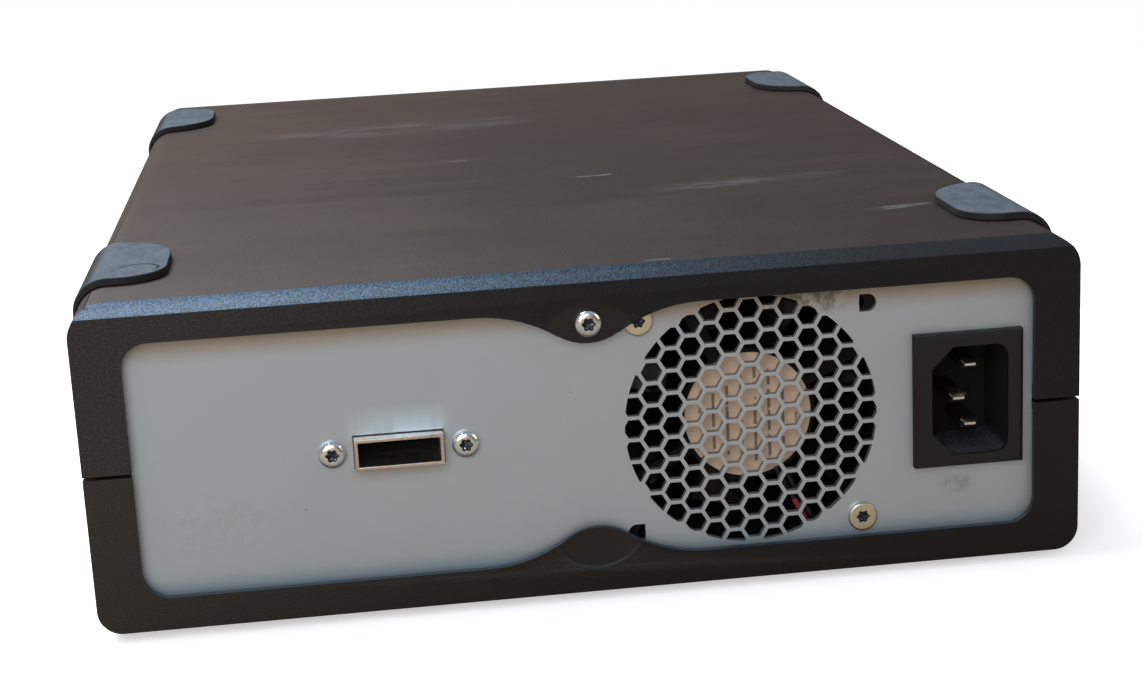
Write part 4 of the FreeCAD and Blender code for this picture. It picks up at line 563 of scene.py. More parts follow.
@dataclass(frozen=True)
class CaseShell(Finish):
    """The case: leather-like matte top, sparkling fine grain on the rear frame and bevel.

    The half towards +X is painted paler than the other, as painted light. The bevel carries a
    painted blue sky reflection that fades away from +X, and the lower lip and the lens rims a
    painted blue highlight.
    """

    side_colour: Colour = (0.02, 0.016, 0.0135)
    frame_colour: Colour = (0.0045, 0.0045, 0.0058)
    # Painted light: the frame's colour on its lit side towards +X.
    frame_lit_colour: Colour = (0.02, 0.0175, 0.0165)
    # Painted reflection of a blue sky on the bevel.
    bevel_reflection: Colour = (0.042, 0.1, 0.18)
    # Painted blue highlight on the lower lip and the lens rims.
    lip_highlight: Colour = (0.02, 0.042, 0.065)
    plain_colour: Colour = (0.014, 0.0105, 0.009)
    dust: Colour = (0.34, 0.35, 0.37)
    wear: Colour = (0.33, 0.33, 0.34)
    frame_from: Span = (147.0, 147.4)
    bevel_over: float = 60.0
    lip_from: float = 150.3
    lip_below: Span = (30.0, 28.0)
    # Spans on X over which the painted light grows, on the frame and top, then on the bevel.
    frame_lit_span: Span = (-20.0, 112.0)
    bevel_lit_span: Span = (-75.0, 105.0)
    sparkle: float = 2.2
    # How much painted highlight lies on the lens rim.
    rim_highlight: float = 0.15
    lens_centres: Span = (0.0, 0.0)
    marks: tuple[Mark, ...] = ()

    def lens(self, shade: Shade) -> tuple[Wire, Wire]:
        """The lens-shaped patch in the tab: inside both of two crossing circles.

        Returns:
            1 inside it, and 1 along its rim.
        """
        x, _, z = shade.axes()
        radius = REAR.LENS_RADIUS
        low, high = (distance(x, z - level) for level in self.lens_centres)
        far = low.most(high)
        rim = far.ramp(radius - 0.4, radius - 0.1) * far.ramp(radius + 0.25, radius)
        return far.ramp(radius + 0.15, radius - 0.15), rim

    def draw(self, shade: Shade) -> None:
        """Lay the top's tone, the frame's grain, the painted light, the marks and the dust."""
        x, y, z = shade.axes()
        _, out, up = shade.facing()
        rear = y.ramp(*self.frame_from)
        bevel = rear * up.ramp(0.4, 0.6) * z.over(self.bevel_over)
        lip = y.over(self.lip_from) * up.ramp(0.5, 0.9) * z.ramp(*self.lip_below)
        inside, rim = self.lens(shade)
        upright = out.over(0.9)
        flat = inside * upright
        cloud = shade.noise(60.0, 4.0, 0.6)
        streaks = shade.noise(9.0, 4.0, 0.6, shade.stretched((0.12, 1.0, 1.0), 6.0))
        hide = shade.noise(0.8, 4.0, 0.75)
        spark = shade.noise(0.5, 2.0, 0.6)
        # Painted light: the side towards +X is lighter on the frame and the top, and the bevel's
        # painted reflection is brighter there; the top's tone mixes random wear with that light.
        lit_side = x.ramp(*self.frame_lit_span)
        bevel_lit = x.ramp(*self.bevel_lit_span)
        worn_and_lit = cloud * 0.45 + streaks * 0.3 + lit_side * 0.25
        top_tone = self.tones(shade, worn_and_lit.ramp(0.3, 0.7), 0.55, 1.3)
        top_tone = shade.tint(top_tone, hide.ramp(0.3, 0.7) * 0.7 + 0.65)
        top_tone = shade.mix(up.ramp(0.2, 0.75), self.side_colour, top_tone)
        frame_tone = shade.mix(lit_side, self.frame_colour, self.frame_lit_colour)
        frame_tone = shade.tint(frame_tone, spark.ramp(0.4, 0.75) * (self.sparkle - 1) + 0.8)
        # Painted reflection of the blue sky on the bevel, shaded where the grain dips.
        shaded = scaled(self.bevel_reflection, 0.12)
        bevel_reflection_tone = shade.mix(spark.ramp(0.36, 0.66), shaded, self.bevel_reflection)
        bevel_reflection_tone = shade.tint(bevel_reflection_tone, bevel_lit * 1.05 + 0.06)
        specks = shade.cells(3.4).ramp(0.04, 0.0) * shade.noise(14.0).ramp(0.5, 0.66)
        scuffs = ((mark.mask(shade) * up.ramp(0.6, 0.95), self.wear) for mark in self.marks)
        tone = shade.coats(
            top_tone,
            (rear, frame_tone),
            (bevel, bevel_reflection_tone),
            (flat, self.plain_colour),
            # Painted blue highlights on the lower lip and the lens rim.
            (lip, self.lip_highlight),
            (rim * upright * self.rim_highlight, self.lip_highlight),
            (specks * up.ramp(-0.3, 0.4) * 0.5, self.dust),
            *scuffs,
        )
        gloss = rear * (0.45 - self.roughness) + self.roughness + worn_and_lit.swing(0.14)
        height = rear * (1 - flat) * spark * 2.0 + (1 - rear) * hide * 1.5
        shade.set(
            Base_Color=tone,
            Roughness=gloss + bevel * (1 - bevel_lit) * 0.35,
            Normal=shade.bump(height, 0.085, 0.8),
            Specular_IOR_Level=0.3,
        )


@dataclass(frozen=True)
class Rubber(Finish):
    """Moulded rubber that has gone pale with dust where it faces up, black at its rim."""

    bloom: Colour
    dent: Span
    dent_inner: Span = (3.9, 4.3)
    dent_outer: Span = (5.2, 4.8)
    # Specks of real grime on the pads.
    grime_and_shade: Colour = (0.03, 0.034, 0.038)

    def crescent(self, shade: Shade) -> Wire:
        """A crescent pressed into a pad: the rim of one circle, on its -Y side."""
        x, y, _ = shade.axes()
        right = x - self.dent[0]
        ahead = y - self.dent[1]
        far = distance(right, ahead)
        near_side = (right * 0.4 + ahead).ramp(1.5, -1.0)
        return far.ramp(*self.dent_inner) * far.ramp(*self.dent_outer) * near_side

    def draw(self, shade: Shade) -> None:
        """Dust with rubbed patches and specks on the faces that look up, dark flanks."""
        _, _, up = shade.facing()
        haze = shade.noise(5.0, 5.0, 0.65)
        swirl = shade.noise(2.2, 4.0, 0.7, shade.stretched((1.0, 0.45, 1.0), 3.0))
        fine = shade.noise(0.45, 3.0, 0.7)
        specks = shade.cells(1.6).ramp(0.16, 0.05) * haze.ramp(0.45, 0.6)
        cover = up.ramp(0.8, 0.98) * (haze.ramp(0.3, 0.62) * 0.4 + 0.6)
        dusty = shade.mix(swirl.ramp(0.35, 0.7), self.bloom, scaled(self.bloom, 0.7))
        dusty = shade.tint(dusty, fine.ramp(0.35, 0.7) * 0.5 + 0.75)
        dent = (self.crescent(shade) * cover, self.colour)
        dirt = (specks * up.ramp(0.2, 0.9), self.grime_and_shade)
        shade.set(
            Base_Color=shade.coats(self.colour, (cover, dusty), dent, dirt),
            Roughness=cover * 0.16 + fine.swing(0.08) + self.roughness,
            Normal=shade.bump(fine, 0.05, 0.5, Normal=shade.bump(haze, 0.1, 0.5)),
            Specular_IOR_Level=0.4,
        )


@dataclass(frozen=True)
class Smudge:
    """A cloudy fingermark on the panel, placed from the middle of a fitting."""

    right: float
    rise: float
    wide: float
    tall: float

    def mask(self, shade: Shade, fitting: Spot = (0.0, 0.0, 0.0)) -> Wire:
        """Its cover: a cloudy soft spot.

        Args:
            shade: The material it is laid in.
            fitting: What it is placed from, in millimetres.

        Returns:
            The cover.
        """
        x, _, z = shade.axes()
        across = (x - (fitting[0] + self.right)) / self.wide
        up = (z - (fitting[2] + self.rise)) / self.tall
        return soft_spot(across, up) * shade.noise(2.6, 4.0, 0.7).ramp(0.42, 0.62)


@dataclass(frozen=True)
class PanelSheet(Finish):
    """Satin plated sheet of the rear panel, with handling smudges and soot by the fan.

    The port's painted sheen and the painted warm glow below it are told by heights from its
    middle, and end where the square of the place beside it passes the port's reach. The warm
    light under the frame, the blue light over the lower lip and the black seam are painted
    light and shade too.
    """

    soot: Colour = (0.11, 0.09, 0.075)
    edge: Colour = (0.3, 0.3, 0.3)
    # Painted warm light under the frame and below the port.
    warm: Colour = (0.34, 0.26, 0.18)
    # Painted blue light over the lower lip.
    cold: Colour = (0.3, 0.4, 0.48)
    # Painted sheen above the port.
    sheen_tone: Colour = (0.62, 0.78, 0.9)
    # Painted black shade in the seam behind the frame.
    seam_shade: Colour = (0.004, 0.004, 0.004)
    fan_soot: Smudge = Smudge(-13, 27, 13, 5)
    thumb: Smudge = Smudge(2, -20.5, 5, 3)
    faint: Smudge = Smudge(84, 24, 16, 9)
    frame_shade: Span = (6.5, 1.0)
    lip_shade: Span = (4.5, 0.5)
    port_reach: Span = (144.0, 60.0)
    port_half: float = 3.0
    sheen_rise: Span = (11.0, 3.5)
    glow_rise: Span = (-8.5, -3.6)
    seam_from: float = 101.3

    def draw(self, shade: Shade) -> None:
        """Rolled grain, cloudy smudges, a few dark pin spots, and painted light and shade from the
        case.
        """
        x, _, z = shade.axes()
        _, out, _ = shade.facing()
        cloud = shade.noise(34.0, 4.0, 0.6)
        rolled = shade.noise(0.7, 3.0, 0.6, shade.stretched((1.0, 1.0, 0.35)))
        pins = shade.cells(13.0).ramp(0.028, 0.02) * shade.noise(30.0).ramp(0.42, 0.6)
        sooty = self.fan_soot.mask(shade, REAR.grille)
        thumb = self.thumb.mask(shade, REAR.inlet)
        faint = self.faint.mask(shade)
        foot, head = REAR.window
        # Painted light: warm under the frame's head, blue over the lower lip.
        under_frame = z.ramp(head - self.frame_shade[0], head - self.frame_shade[1])
        over_lip = z.ramp(foot + self.lip_shade[0], foot + self.lip_shade[1])
        middle_x, _, level = REAR.port
        right = x - middle_x
        beside = (right * right).ramp(*self.port_reach)
        over = z.over(level + self.port_half)
        under = z.over(level - self.port_half)
        # Painted reflection above the port, and a painted warm glow below it.
        streaks = shade.noise(3.4, 2.0, 0.5, shade.stretched((1.0, 1.0, 0.1), 4.0))
        sheen = beside * z.ramp(level + self.sheen_rise[0], level + self.sheen_rise[1])
        sheen = sheen * over * streaks.ramp(0.3, 0.65)
        glow = beside * z.ramp(level + self.glow_rise[0], level + self.glow_rise[1])
        # Painted shade: black in the seam gap behind the frame's sides.
        in_seam = (x * x).over(self.seam_from**2) * under * (1 - over)
        tone = shade.coats(
            self.tones(shade, cloud, 0.94, 1.06),
            (under_frame * 0.8, self.warm),
            (over_lip * 0.7, self.cold),
            (sheen, self.sheen_tone),
            (glow * (1 - under) * 0.45, self.warm),
            (sooty * 0.8 + thumb * 0.3 + faint * 0.1, self.soot),
            (pins * 0.75, self.soot),
            (out.ramp(0.75, 0.3), self.edge),
            (in_seam, self.seam_shade),
        )
        shade.set(
            Base_Color=tone,
            Metallic=0.55,
            Roughness=cloud.swing(0.1) + rolled.swing(0.08) + sooty * 0.2 + self.roughness,
            Normal=shade.bump(rolled, 0.02, 0.3),
        )


@dataclass(frozen=True)
class CutTin(Finish):
    """Bright tinned brass whose cut rim shows the base metal."""

    core: Colour = (0.74, 0.56, 0.43)
    rim: float = 151.7

    def draw(self, shade: Shade) -> None:
        """A tinned surface that turns coppery at the rim."""
        _, y, _ = shade.axes()
        _, out, _ = shade.facing()
        ragged = shade.noise(0.6, 3.0, 0.7)
        cut = y.over(self.rim) * out.ramp(0.2, 0.6) * ragged.ramp(0.4, 0.55)
        cloud = shade.noise(2.4, 3.0)
        bright = shade.mix(cloud, scaled(self.colour, 0.86), self.colour)
        shade.set(
            Base_Color=shade.mix(cut, bright, self.core),
            Metallic=1.0,
            Roughness=cloud.swing(0.2) + self.roughness,
            Normal=shade.bump(ragged, 0.02, 0.3),
        )


@dataclass(frozen=True)
class Loom(Finish):
    """Wires of one loom: the first in the finish's own colour, the next in the jackets'."""

    jackets: tuple[Colour, ...] = ()
    sleeve_reach: float = 0.0
    sleeve: Colour = (0.008, 0.008, 0.009)

    def draw(self, shade: Shade) -> None:
        """Pick the jacket by the wire's number, which the mesh carries.

        A black sleeve covers the wires as far out from the fan's axis as it reaches.
        """
        number = shade.carried(WIRE_NUMBER)
        coats = [(number.over(index + 0.5), jacket) for index, jacket in enumerate(self.jackets)]
        tone = shade.coats(self.colour, *coats)
        if self.sleeve_reach:
            x, _, z = shade.axes()
            far = distance(x - REAR.grille[0], z - REAR.grille[2])
            tone = shade.mix(1 - far.over(self.sleeve_reach), tone, self.sleeve)
        crease = shade.noise(1.4, 3.0)
        shade.set(Base_Color=tone, Roughness=crease.swing(0.15) + self.roughness)


@dataclass(frozen=True)
class CircuitBoard(Finish):
    """Solder-masked board: traces as faint ridges, tinned pads as bright dots."""

    mask_light: Colour = (0.03, 0.16, 0.07)
    tin: Colour = (0.62, 0.62, 0.6)

    def draw(self, shade: Shade) -> None:
        """Traces follow the edges of square-ish cells; pads sit at cell centres."""
        rows = shade.cells(6.0, "DISTANCE_TO_EDGE", shade.stretched((1.0, 2.2, 1.0)))
        trace = rows.ramp(0.1, 0.04)
        pads = shade.cells(3.2).ramp(0.16, 0.12) * shade.noise(12.0).ramp(0.45, 0.55)
        shade.set(
            Base_Color=shade.coats(self.colour, (trace, self.mask_light), (pads, self.tin)),
            Metallic=pads * 0.9,
            Roughness=trace * 0.08 + self.roughness,
            Normal=shade.bump(trace, 0.05, 0.4),
        )


@dataclass(frozen=True)
class Sleeve(Finish):
    """A capacitor's shrink sleeve with its bare aluminium top, from the crown's height up."""

    crown: float
    bare: Colour = (0.7, 0.7, 0.7)

    def draw(self, shade: Shade) -> None:
        """Sleeve below the crown, metal above it."""
        _, _, up = shade.facing()
        _, _, z = shade.axes()
        top = up.over(0.8) * z.over(self.crown)
        haze = shade.noise(4.0, 3.0)
        film = shade.mix(haze, scaled(self.colour, 0.85), self.colour)
        shade.set(
            Base_Color=shade.mix(top, film, self.bare),
            Metallic=top,
            Roughness=haze * 0.12 + self.roughness,
        )


# -------------------------------------------------------------------- surfaces and pieces
def grid_faces(rows: int, columns: int) -> np.ndarray:
    """Quads of a grid that closes on itself round its columns.

    Face (i, j) joins points (i, j), (i, j+1), (i+1, j+1) and (i+1, j), columns counted
    round, and a point's number is i times the columns plus j.

    Args:
        rows: Rings of points.
        columns: Points in each ring.

    Returns:
        One row of four point numbers a face.
    """
    ring = np.arange(rows - 1)[:, None] * columns
    here = ring + np.arange(columns)[None, :]
    after = ring + (np.arange(columns)[None, :] + 1) % columns
    return np.stack([here, after, after + columns, here + columns], axis=-1).reshape(-1, 4)


def turns(columns: int) -> np.ndarray:
    """Angles that share out a whole turn."""
    return np.linspace(0, 2 * math.pi, columns, endpoint=False)


def lathe(profile: np.ndarray, swell: np.ndarray) -> np.ndarray:
    """Carry a profile round the Z axis.

    Point (i, j) is (r cos a, r sin a, z), with z from row i of the profile, r its
    radius times swell (i, j), and a the j-th share of a turn.

    Args:
        profile: Rows of radius and height, outwards faces to the right of travel.
        swell: A factor on each point's radius, by row and column.

    Returns:
        The grid's points.
    """
    turn = turns(swell.shape[1])
    reach = profile[:, :1] * swell
    level = np.broadcast_to(profile[:, 1:], reach.shape)
    return np.stack([reach * np.cos(turn), reach * np.sin(turn), level], axis=-1)


def stand(name: str, data: bpy.types.ID) -> bpy.types.Object:
    """A new object in the scene, at the origin."""
    made = bpy.data.objects.new(name, data)
    bpy.context.scene.collection.objects.link(made)
    return made


def carry(mesh: bpy.types.Mesh, layer: str, values: np.ndarray) -> None:
    """Give a mesh's points a named value each."""
    made = mesh.attributes.new(layer, "FLOAT", "POINT")
    made.data.foreach_set("value", values.astype(np.float32))


def merge(mesh: bpy.types.Mesh, flatten: bool = False, turn: bool = False) -> None:
    """Join a mesh's doubled points.

    Args:
        mesh: The mesh.
        flatten: Whether faces in one plane become one.
        turn: Whether every face is turned outwards.
    """
    work = bmesh.new()
    work.from_mesh(mesh)
    bmesh.ops.remove_doubles(work, verts=work.verts, dist=DOUBLED)
    if flatten:
        angle = math.radians(FLAT)
        bmesh.ops.dissolve_limit(work, angle_limit=angle, verts=work.verts, edges=work.edges)
    if turn:
        bmesh.ops.recalc_face_normals(work, faces=work.faces)
    work.to_mesh(mesh)
    work.free()


def smooth(mesh: bpy.types.Mesh) -> None:
    """Shade smooth, with edges past the crease kept sharp."""
    mesh.polygons.foreach_set("use_smooth", np.ones(len(mesh.polygons), bool))
    mesh.set_sharp_from_angle(angle=math.radians(CREASE))
    mesh.update()


def spots_of(mesh: bpy.types.Mesh) -> np.ndarray:
    """A mesh's points, one a row."""
    spots = np.empty(3 * len(mesh.vertices))
    mesh.vertices.foreach_get("co", spots)
    return spots.reshape(-1, 3)


def count_solids(mesh: bpy.types.Mesh) -> np.ndarray:
    """Number each point by the separate solid that it belongs to.

    Each point starts with its own number and takes the least number that its edges
    bring, again and again, until nothing changes. The solids are then counted by their
    first points in order of x, then y, then z.

    Args:
        mesh: A mesh whose doubled points are joined.

    Returns:
        One number a point.
    """
    ends = np.empty(2 * len(mesh.edges), np.int32)
    mesh.edges.foreach_get("vertices", ends)
    ends = ends.reshape(-1, 2)
    number = np.arange(len(mesh.vertices))
    settled = False
    while not settled:
        least = number.copy()
        np.minimum.at(least, ends, number[ends].min(axis=1, keepdims=True))
        least = least[least]
        settled = np.array_equal(least, number)
        number = least
    order = np.lexsort(spots_of(mesh).T[::-1])
    labels, first = np.unique(number[order], return_index=True)
    return first.argsort().argsort()[np.searchsorted(labels, number)]


def solids_of(node: str) -> list[tuple[Vector, Vector]]:
    """The corners of each separate solid in a CAD node, left to right."""
    mesh = frame["nodes"][node].data.copy()
    merge(mesh)
    spots = spots_of(mesh)
    number = count_solids(mesh)
    groups = [spots[number == index] for index in range(number.max() + 1)]
    bpy.data.meshes.remove(mesh)
    corners = [(Vector(group.min(axis=0)), Vector(group.max(axis=0))) for group in groups]
    return sorted(corners, key=lambda pair: tuple(pair[0]))


class Solid:
    """Closed shapes gathered into one mesh."""

    def __init__(self, name: str) -> None:
        """Start an empty piece."""
        self.name = name
        self.points: list[np.ndarray] = []
        self.values: list[np.ndarray] = []
        self.faces: list[list[int]] = []
        self.count = 0

    def add_rings(self, rings: np.ndarray, seat: Matrix, marks: np.ndarray) -> None:
        """Append closed rings with a pole at each end, moved to their seat.

        Args:
            rings: Points by ring and column, in millimetres.
            seat: The move from the rings' own axes to the frame's, in metres.
            marks: The value that each ring's points carry.
        """
        rows, columns, _ = rings.shape
        poles = np.stack([rings[0].mean(axis=0), rings[-1].mean(axis=0)])
        points = np.vstack([rings.reshape(-1, 3), poles]) * MM
        self.points.append(points @ np.array(seat.to_3x3()).T + np.array(seat.translation))
        self.values.append(np.concatenate([np.repeat(marks, columns), marks[[0, -1]]]))
        here = np.arange(columns)
        after = (here + 1) % columns
        start = np.full(columns, rows * columns)
        last = (rows - 1) * columns
        foot = np.stack([start, after, here], axis=-1)
        crown = np.stack([start + 1, last + here, last + after], axis=-1)
        for faces in (grid_faces(rows, columns), foot, crown):
            self.faces.extend((faces + self.count).tolist())
        self.count += len(points)

    def piece(self, layer: str = "") -> bpy.types.Object:
        """Make the mesh, its faces turned outwards and shaded smooth up to a crease.

        Args:
            layer: The name under which the mesh carries the rings' values, if it does.

        Returns:
            The object, at the origin.
        """
        mesh = bpy.data.meshes.new(self.name)
        mesh.from_pydata(np.vstack(self.points).tolist(), [], self.faces)
        if layer:
            carry(mesh, layer, np.concatenate(self.values))
        merge(mesh, turn=True)
        smooth(mesh)
        return stand(self.name, mesh)


def eased(node: str, finish: Finish, ease: float = 0.0, steps: int = 2) -> None:
    """Make a merged copy of a CAD node with its hard edges eased, standing for the node.

    Args:
        node: The CAD node.
        finish: What it is dressed in.
        ease: The width of the eased edge, in millimetres, or 0 for none.
        steps: Faces across an eased edge.
    """
    mesh = frame["nodes"][node].data.copy()
    mesh.name = f"{node}_eased"
    merge(mesh, flatten=True)
    if isinstance(finish, Loom):
        carry(mesh, WIRE_NUMBER, count_solids(mesh))
    if mesh.has_custom_normals:
        mesh.normals_split_custom_set([(0.0, 0.0, 0.0)] * len(mesh.loops))
    smooth(mesh)
    made = stand(mesh.name, mesh)
    if ease:
        edge = made.modifiers.new("ease", "BEVEL")
        edge.width = ease * MM
        edge.segments = steps
        edge.limit_method = "ANGLE"
        edge.angle_limit = math.radians(HARD_EDGE)
        edge.harden_normals = True
    settle(made, finish, node)


def coat(mesh: bpy.types.Mesh, finish: Finish) -> None:
    """Give a mesh one material."""
    mesh.materials.clear()
    mesh.materials.append(finish.material())


def settle(piece: bpy.types.Object, finish: Finish, node: str) -> None:
    """Dress a piece, hide the node it stands for and tie the piece to that node's body."""
    coat(piece.data, finish)
    body = frame["nodes"][node]["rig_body"]
    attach(piece, body)
    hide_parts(node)
    LOG.info("%s: %d faces on %s", piece.name, len(piece.data.polygons), body)


def dress(node: str, finish: Finish) -> None:
    """Give a CAD node that keeps its own shape a better material."""
    coat(frame["nodes"][node].data, finish)
    LOG.info("%s: dressed in %s", node, finish.name)


# ---------------------------------------------------------------------------- fasteners
class HeadForm(Enum):
    """How a head is turned: the part of its height that is round, of its radius that is flat."""

    PAN = (0.72, 0.5)
    WAFER = (0.4, 0.86)


class Facing(Enum):
    """The axis that screws look along, or the one that they look outwards along."""

    ASIDE = 0
    REAR = 1
    UP = 2


@dataclass(frozen=True)
class LobeScrew:
    """A screw with a six-lobe socket, turned on a lathe and broached."""

    form: HeadForm
    height: float = 1.7
    socket: float = 1.38
    depth: float = 1.3
    shank: float = 1.5
    lobes: int = 6
    lobe_swell: float = 0.15
    crown_rings: int = 9
    columns: int = 96
    shadow: ClassVar[Spot] = (0.55, 1.0, 1.0)

    def crown(self, radius: float) -> np.ndarray:
        """The head's outer profile, from its seat up to the flat round the socket.

        A quarter ellipse: radius falls as the cosine and height grows as the sine of
        an angle from 0 to a right angle.

        Args:
            radius: The head's own radius.

        Returns:
            Rows of radius and height above the seat.
        """
        soft, flat = self.form.value
        turn = np.linspace(0, math.pi / 2, self.crown_rings)
        rise = self.height * soft
        inner = radius * flat
        outer = inner + (radius - inner) * np.cos(turn)
        return np.stack([outer, self.height - rise + rise * np.sin(turn)], axis=-1)

    def rings(self, radius: float, length: float) -> np.ndarray:
        """All rings from the shank's tip round the head and down into the socket.

        The socket's radius is its mean times 1 + 0.15 cos 6a, a six-lobed star.

        Args:
            radius: The head's radius.
            length: How far the shank goes below the seat.

        Returns:
            Points by ring and column.
        """
        top = self.height
        shank = self.shank
        socket = self.socket
        floor = top - self.depth
        body = [[shank * 0.6, -length], [shank, -length + 0.4], [shank, 0], [radius - 0.1, 0]]
        well = [[socket + 0.12, top], [socket, top - 0.1]]
        well += [[socket * 0.98, floor], [socket * 0.5, floor - 0.25]]
        profile = np.vstack([body, self.crown(radius), well])
        swell = np.ones((len(profile), self.columns))
        swell[-len(well) :] = 1 + self.lobe_swell * np.cos(self.lobes * turns(self.columns))
        return lathe(profile, swell)

    def fit(self, node: str, facing: Facing, finish: Finish, slot: str) -> None:
        """Set one screw in place of each solid of a CAD node.

        Args:
            node: The CAD node.
            facing: The way its heads look.
            finish: What the screws are dressed in.
            slot: Not used.
        """
        made = Solid(f"{node}_turned")
        axis = facing.value
        across = (axis + 1) % 3
        for low, high in solids_of(node):
            centre = (low + high) / 2
            sign = -1 if facing is Facing.ASIDE and centre[axis] <= 0 else 1
            centre[axis] = (high if sign > 0 else low)[axis] - sign * self.height * MM
            way = Vector([float(sign * (index == axis)) for index in range(3)])
            turned = way.to_track_quat("Z", "Y").to_matrix().to_4x4()
            radius = (high[across] - low[across]) / 2 / MM
            length = (high[axis] - low[axis]) / MM - self.height
            rings = self.rings(radius, length)
            marks = np.zeros(len(rings))
            marks[-len(self.shadow) :] = self.shadow
            made.add_rings(rings, Matrix.Translation(centre) @ turned, marks)
        settle(made.piece(SOCKET_DEPTH), finish, node)


@dataclass(frozen=True)
class TaperedPins:
    """Flat blades whose tips are tapered all round.

    A blade's section is a superellipse: with a going once round, one way is the half
    width times cos a, the other the half thickness times sin a, and both are raised to
    a small power with their signs kept, so that the corners come out nearly square.
    """

    narrow: float = 0.72
    least: float = 0.2
    taper: float = 1.1
    power: float = 0.22
    columns: int = 48

    def ring(self, wide: float, tall: float, along: float) -> np.ndarray:
        """One section.

        Args:
            wide: Half its width, in millimetres.
            tall: Half its height.
            along: Its place on Y.

        Returns:
            Its points, one a column.
        """
        waves = (np.cos(turns(self.columns)), np.sin(turns(self.columns)))
        across, up = (np.sign(wave) * np.abs(wave) ** self.power for wave in waves)
        return np.stack([across * wide, np.full(self.columns, along), up * tall], axis=-1)

    def fit(self, node: str, finish: Finish, slot: str) -> None:
        """Set one blade in place of each solid of a CAD node, its tip towards +Y.

        Args:
            node: The CAD node.
            finish: What the blades are dressed in.
            slot: Not used.
        """
        made = Solid(f"{node}_tapered")
        for low, high in solids_of(node):
            half = (high - low) / 2 / MM
            tip = max(half.z - self.narrow, self.least)
            rings = [
                self.ring(half.x, half.z, -half.y),
                self.ring(half.x, half.z, half.y - self.taper),
                self.ring(half.x - self.narrow, tip, half.y),
            ]
            seat = Matrix.Translation((low + high) / 2)
            made.add_rings(np.array(rings), seat, np.zeros(len(rings)))
        settle(made.piece(), finish, node)


# ------------------------------------------------------------------------ finishes in use
def middle(node: str) -> Spot:
    """The middle of a CAD node's box, in millimetres."""
    low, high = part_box(node)
    return tuple((Vector(low) + Vector(high)) / 2 / MM)


@dataclass(frozen=True)
class RearLayout:
    """Places on the rear that the finishes need, in millimetres.

    Each tab bears a lens: what two circles share. The upper lens starts a little below
    the shell screw's level, and the lower one lies as far below the port's level as the
    upper one lies above it. The window reaches as far up as down from that level.
    """

    LENS_RADIUS: ClassVar[float] = 12.0
    LENS_HEIGHT: ClassVar[float] = 9.4
    LENS_DROP: ClassVar[float] = 4.6
    WINDOW_REACH: ClassVar[float] = 29.0

    grille: Spot = field(default_factory=lambda: middle("fan_label"))
    inlet: Spot = field(default_factory=lambda: middle("inlet_body"))
    port: Spot = field(default_factory=lambda: middle("port_cage"))
    screw: Spot = field(default_factory=lambda: middle("shell_screw"))

    @property
    def upper_lens(self) -> Span:
        """The levels of the upper lens's two circles."""
        low = self.screw[2] - self.LENS_DROP
        return (low + self.LENS_RADIUS, low + self.LENS_HEIGHT - self.LENS_RADIUS)

    @property
    def lower_lens(self) -> Span:
        """The levels of the lower lens's two circles."""
        return tuple(2 * self.port[2] - level for level in self.upper_lens)

    @property
    def window(self) -> Span:
        """The levels of the window's foot and head."""
        return (self.port[2] - self.WINDOW_REACH, self.port[2] + self.WINDOW_REACH)


REAR = RearLayout()

SHELL_MARKS = (
    Mark(-17, 37, 15, 2.2, 4, 0.8, 0.8),
    Mark(18, -1, 9, 2.0, -6, 0.6, 0.8),
    Mark(-17.5, 145.2, 10, 0.9, 2, 0.9, 0.6),
    Mark(-82, 107, 22, 5.0, 12, 0.5, 1.6),
    Mark(-52, 60, 70, 16, 8, 0.16, 3.0),
    Mark(30, -70, 120, 34, 3, 0.12, 6.0),
)
TOP_SHELL = CaseShell(
    "case_top_grain", (0.034, 0.022, 0.0165), 0.5, lens_centres=REAR.upper_lens, marks=SHELL_MARKS
)
BOTTOM_SHELL = CaseShell(
    "case_base_grain",
    (0.022, 0.017, 0.0135),
    0.46,
    frame_colour=(0.0085, 0.0065, 0.005),
    frame_lit_colour=(0.025, 0.0195, 0.015),
    sparkle=1.5,
    rim_highlight=0.6,
    lens_centres=REAR.lower_lens,
)
PAD = Rubber("pad_rubber_bloom", (0.007, 0.008, 0.009), 0.6, (0.078, 0.1, 0.125), (98.0, 124.0))
PANEL = PanelSheet("panel_satin", (0.455, 0.5, 0.525), 0.4)
ZINC = Plated(
    "screw_zinc",
    (0.8, 0.88, 0.95),
    0.16,
    mottle=0.03,
    grain=0.7,
    scratch=0.01,
    crown=(0.85, 0.82, 0.74),
)
CREAM_ZINC = Plated(
    "screw_passivated",
    (0.55, 0.56, 0.54),
    0.3,
    mottle=0.04,
    grain=0.8,
    scratch=0.01,
    crown=(0.82, 0.72, 0.5),
)
TRAY = Galvanised("tray_spangle", (0.6, 0.61, 0.62), 0.4)
DRIVE_STEEL = Galvanised("drive_sheet_spangle", (0.66, 0.66, 0.66), 0.34, spangle=3.2)
CAST = Metal("drive_casting", (0.55, 0.55, 0.56), 0.48, grain=0.8, mottle=0.14)
FAN_BLACK = Moulded("fan_glass_filled", (0.006, 0.0055, 0.0055), 0.5, 0.5, 0.02, sheen=0.15)
BLADE_BLACK = Moulded("blade_gloss", (0.004, 0.0045, 0.006), 0.24, 0.9, 0.01)
PAPER = HubPaper("hub_paper", (0.7, 0.53, 0.4), 0.45)
INLET = Moulded(
    "inlet_thermoplastic", (0.009, 0.0082, 0.008), 0.4, 0.4, 0.015, sheen=0.35, mouth=151.4
)
PIN = BladeMetal("pin_nickel", (0.86, 0.78, 0.7), 0.28)
PORT = CutTin("port_tinned", (0.74, 0.73, 0.7), 0.3)
CORE = Moulded("port_core_black", (0.002, 0.002, 0.0022), 0.5, 0.6, 0.01, sheen=0.08)
BOARD = CircuitBoard("board_mask", (0.012, 0.075, 0.03), 0.35)
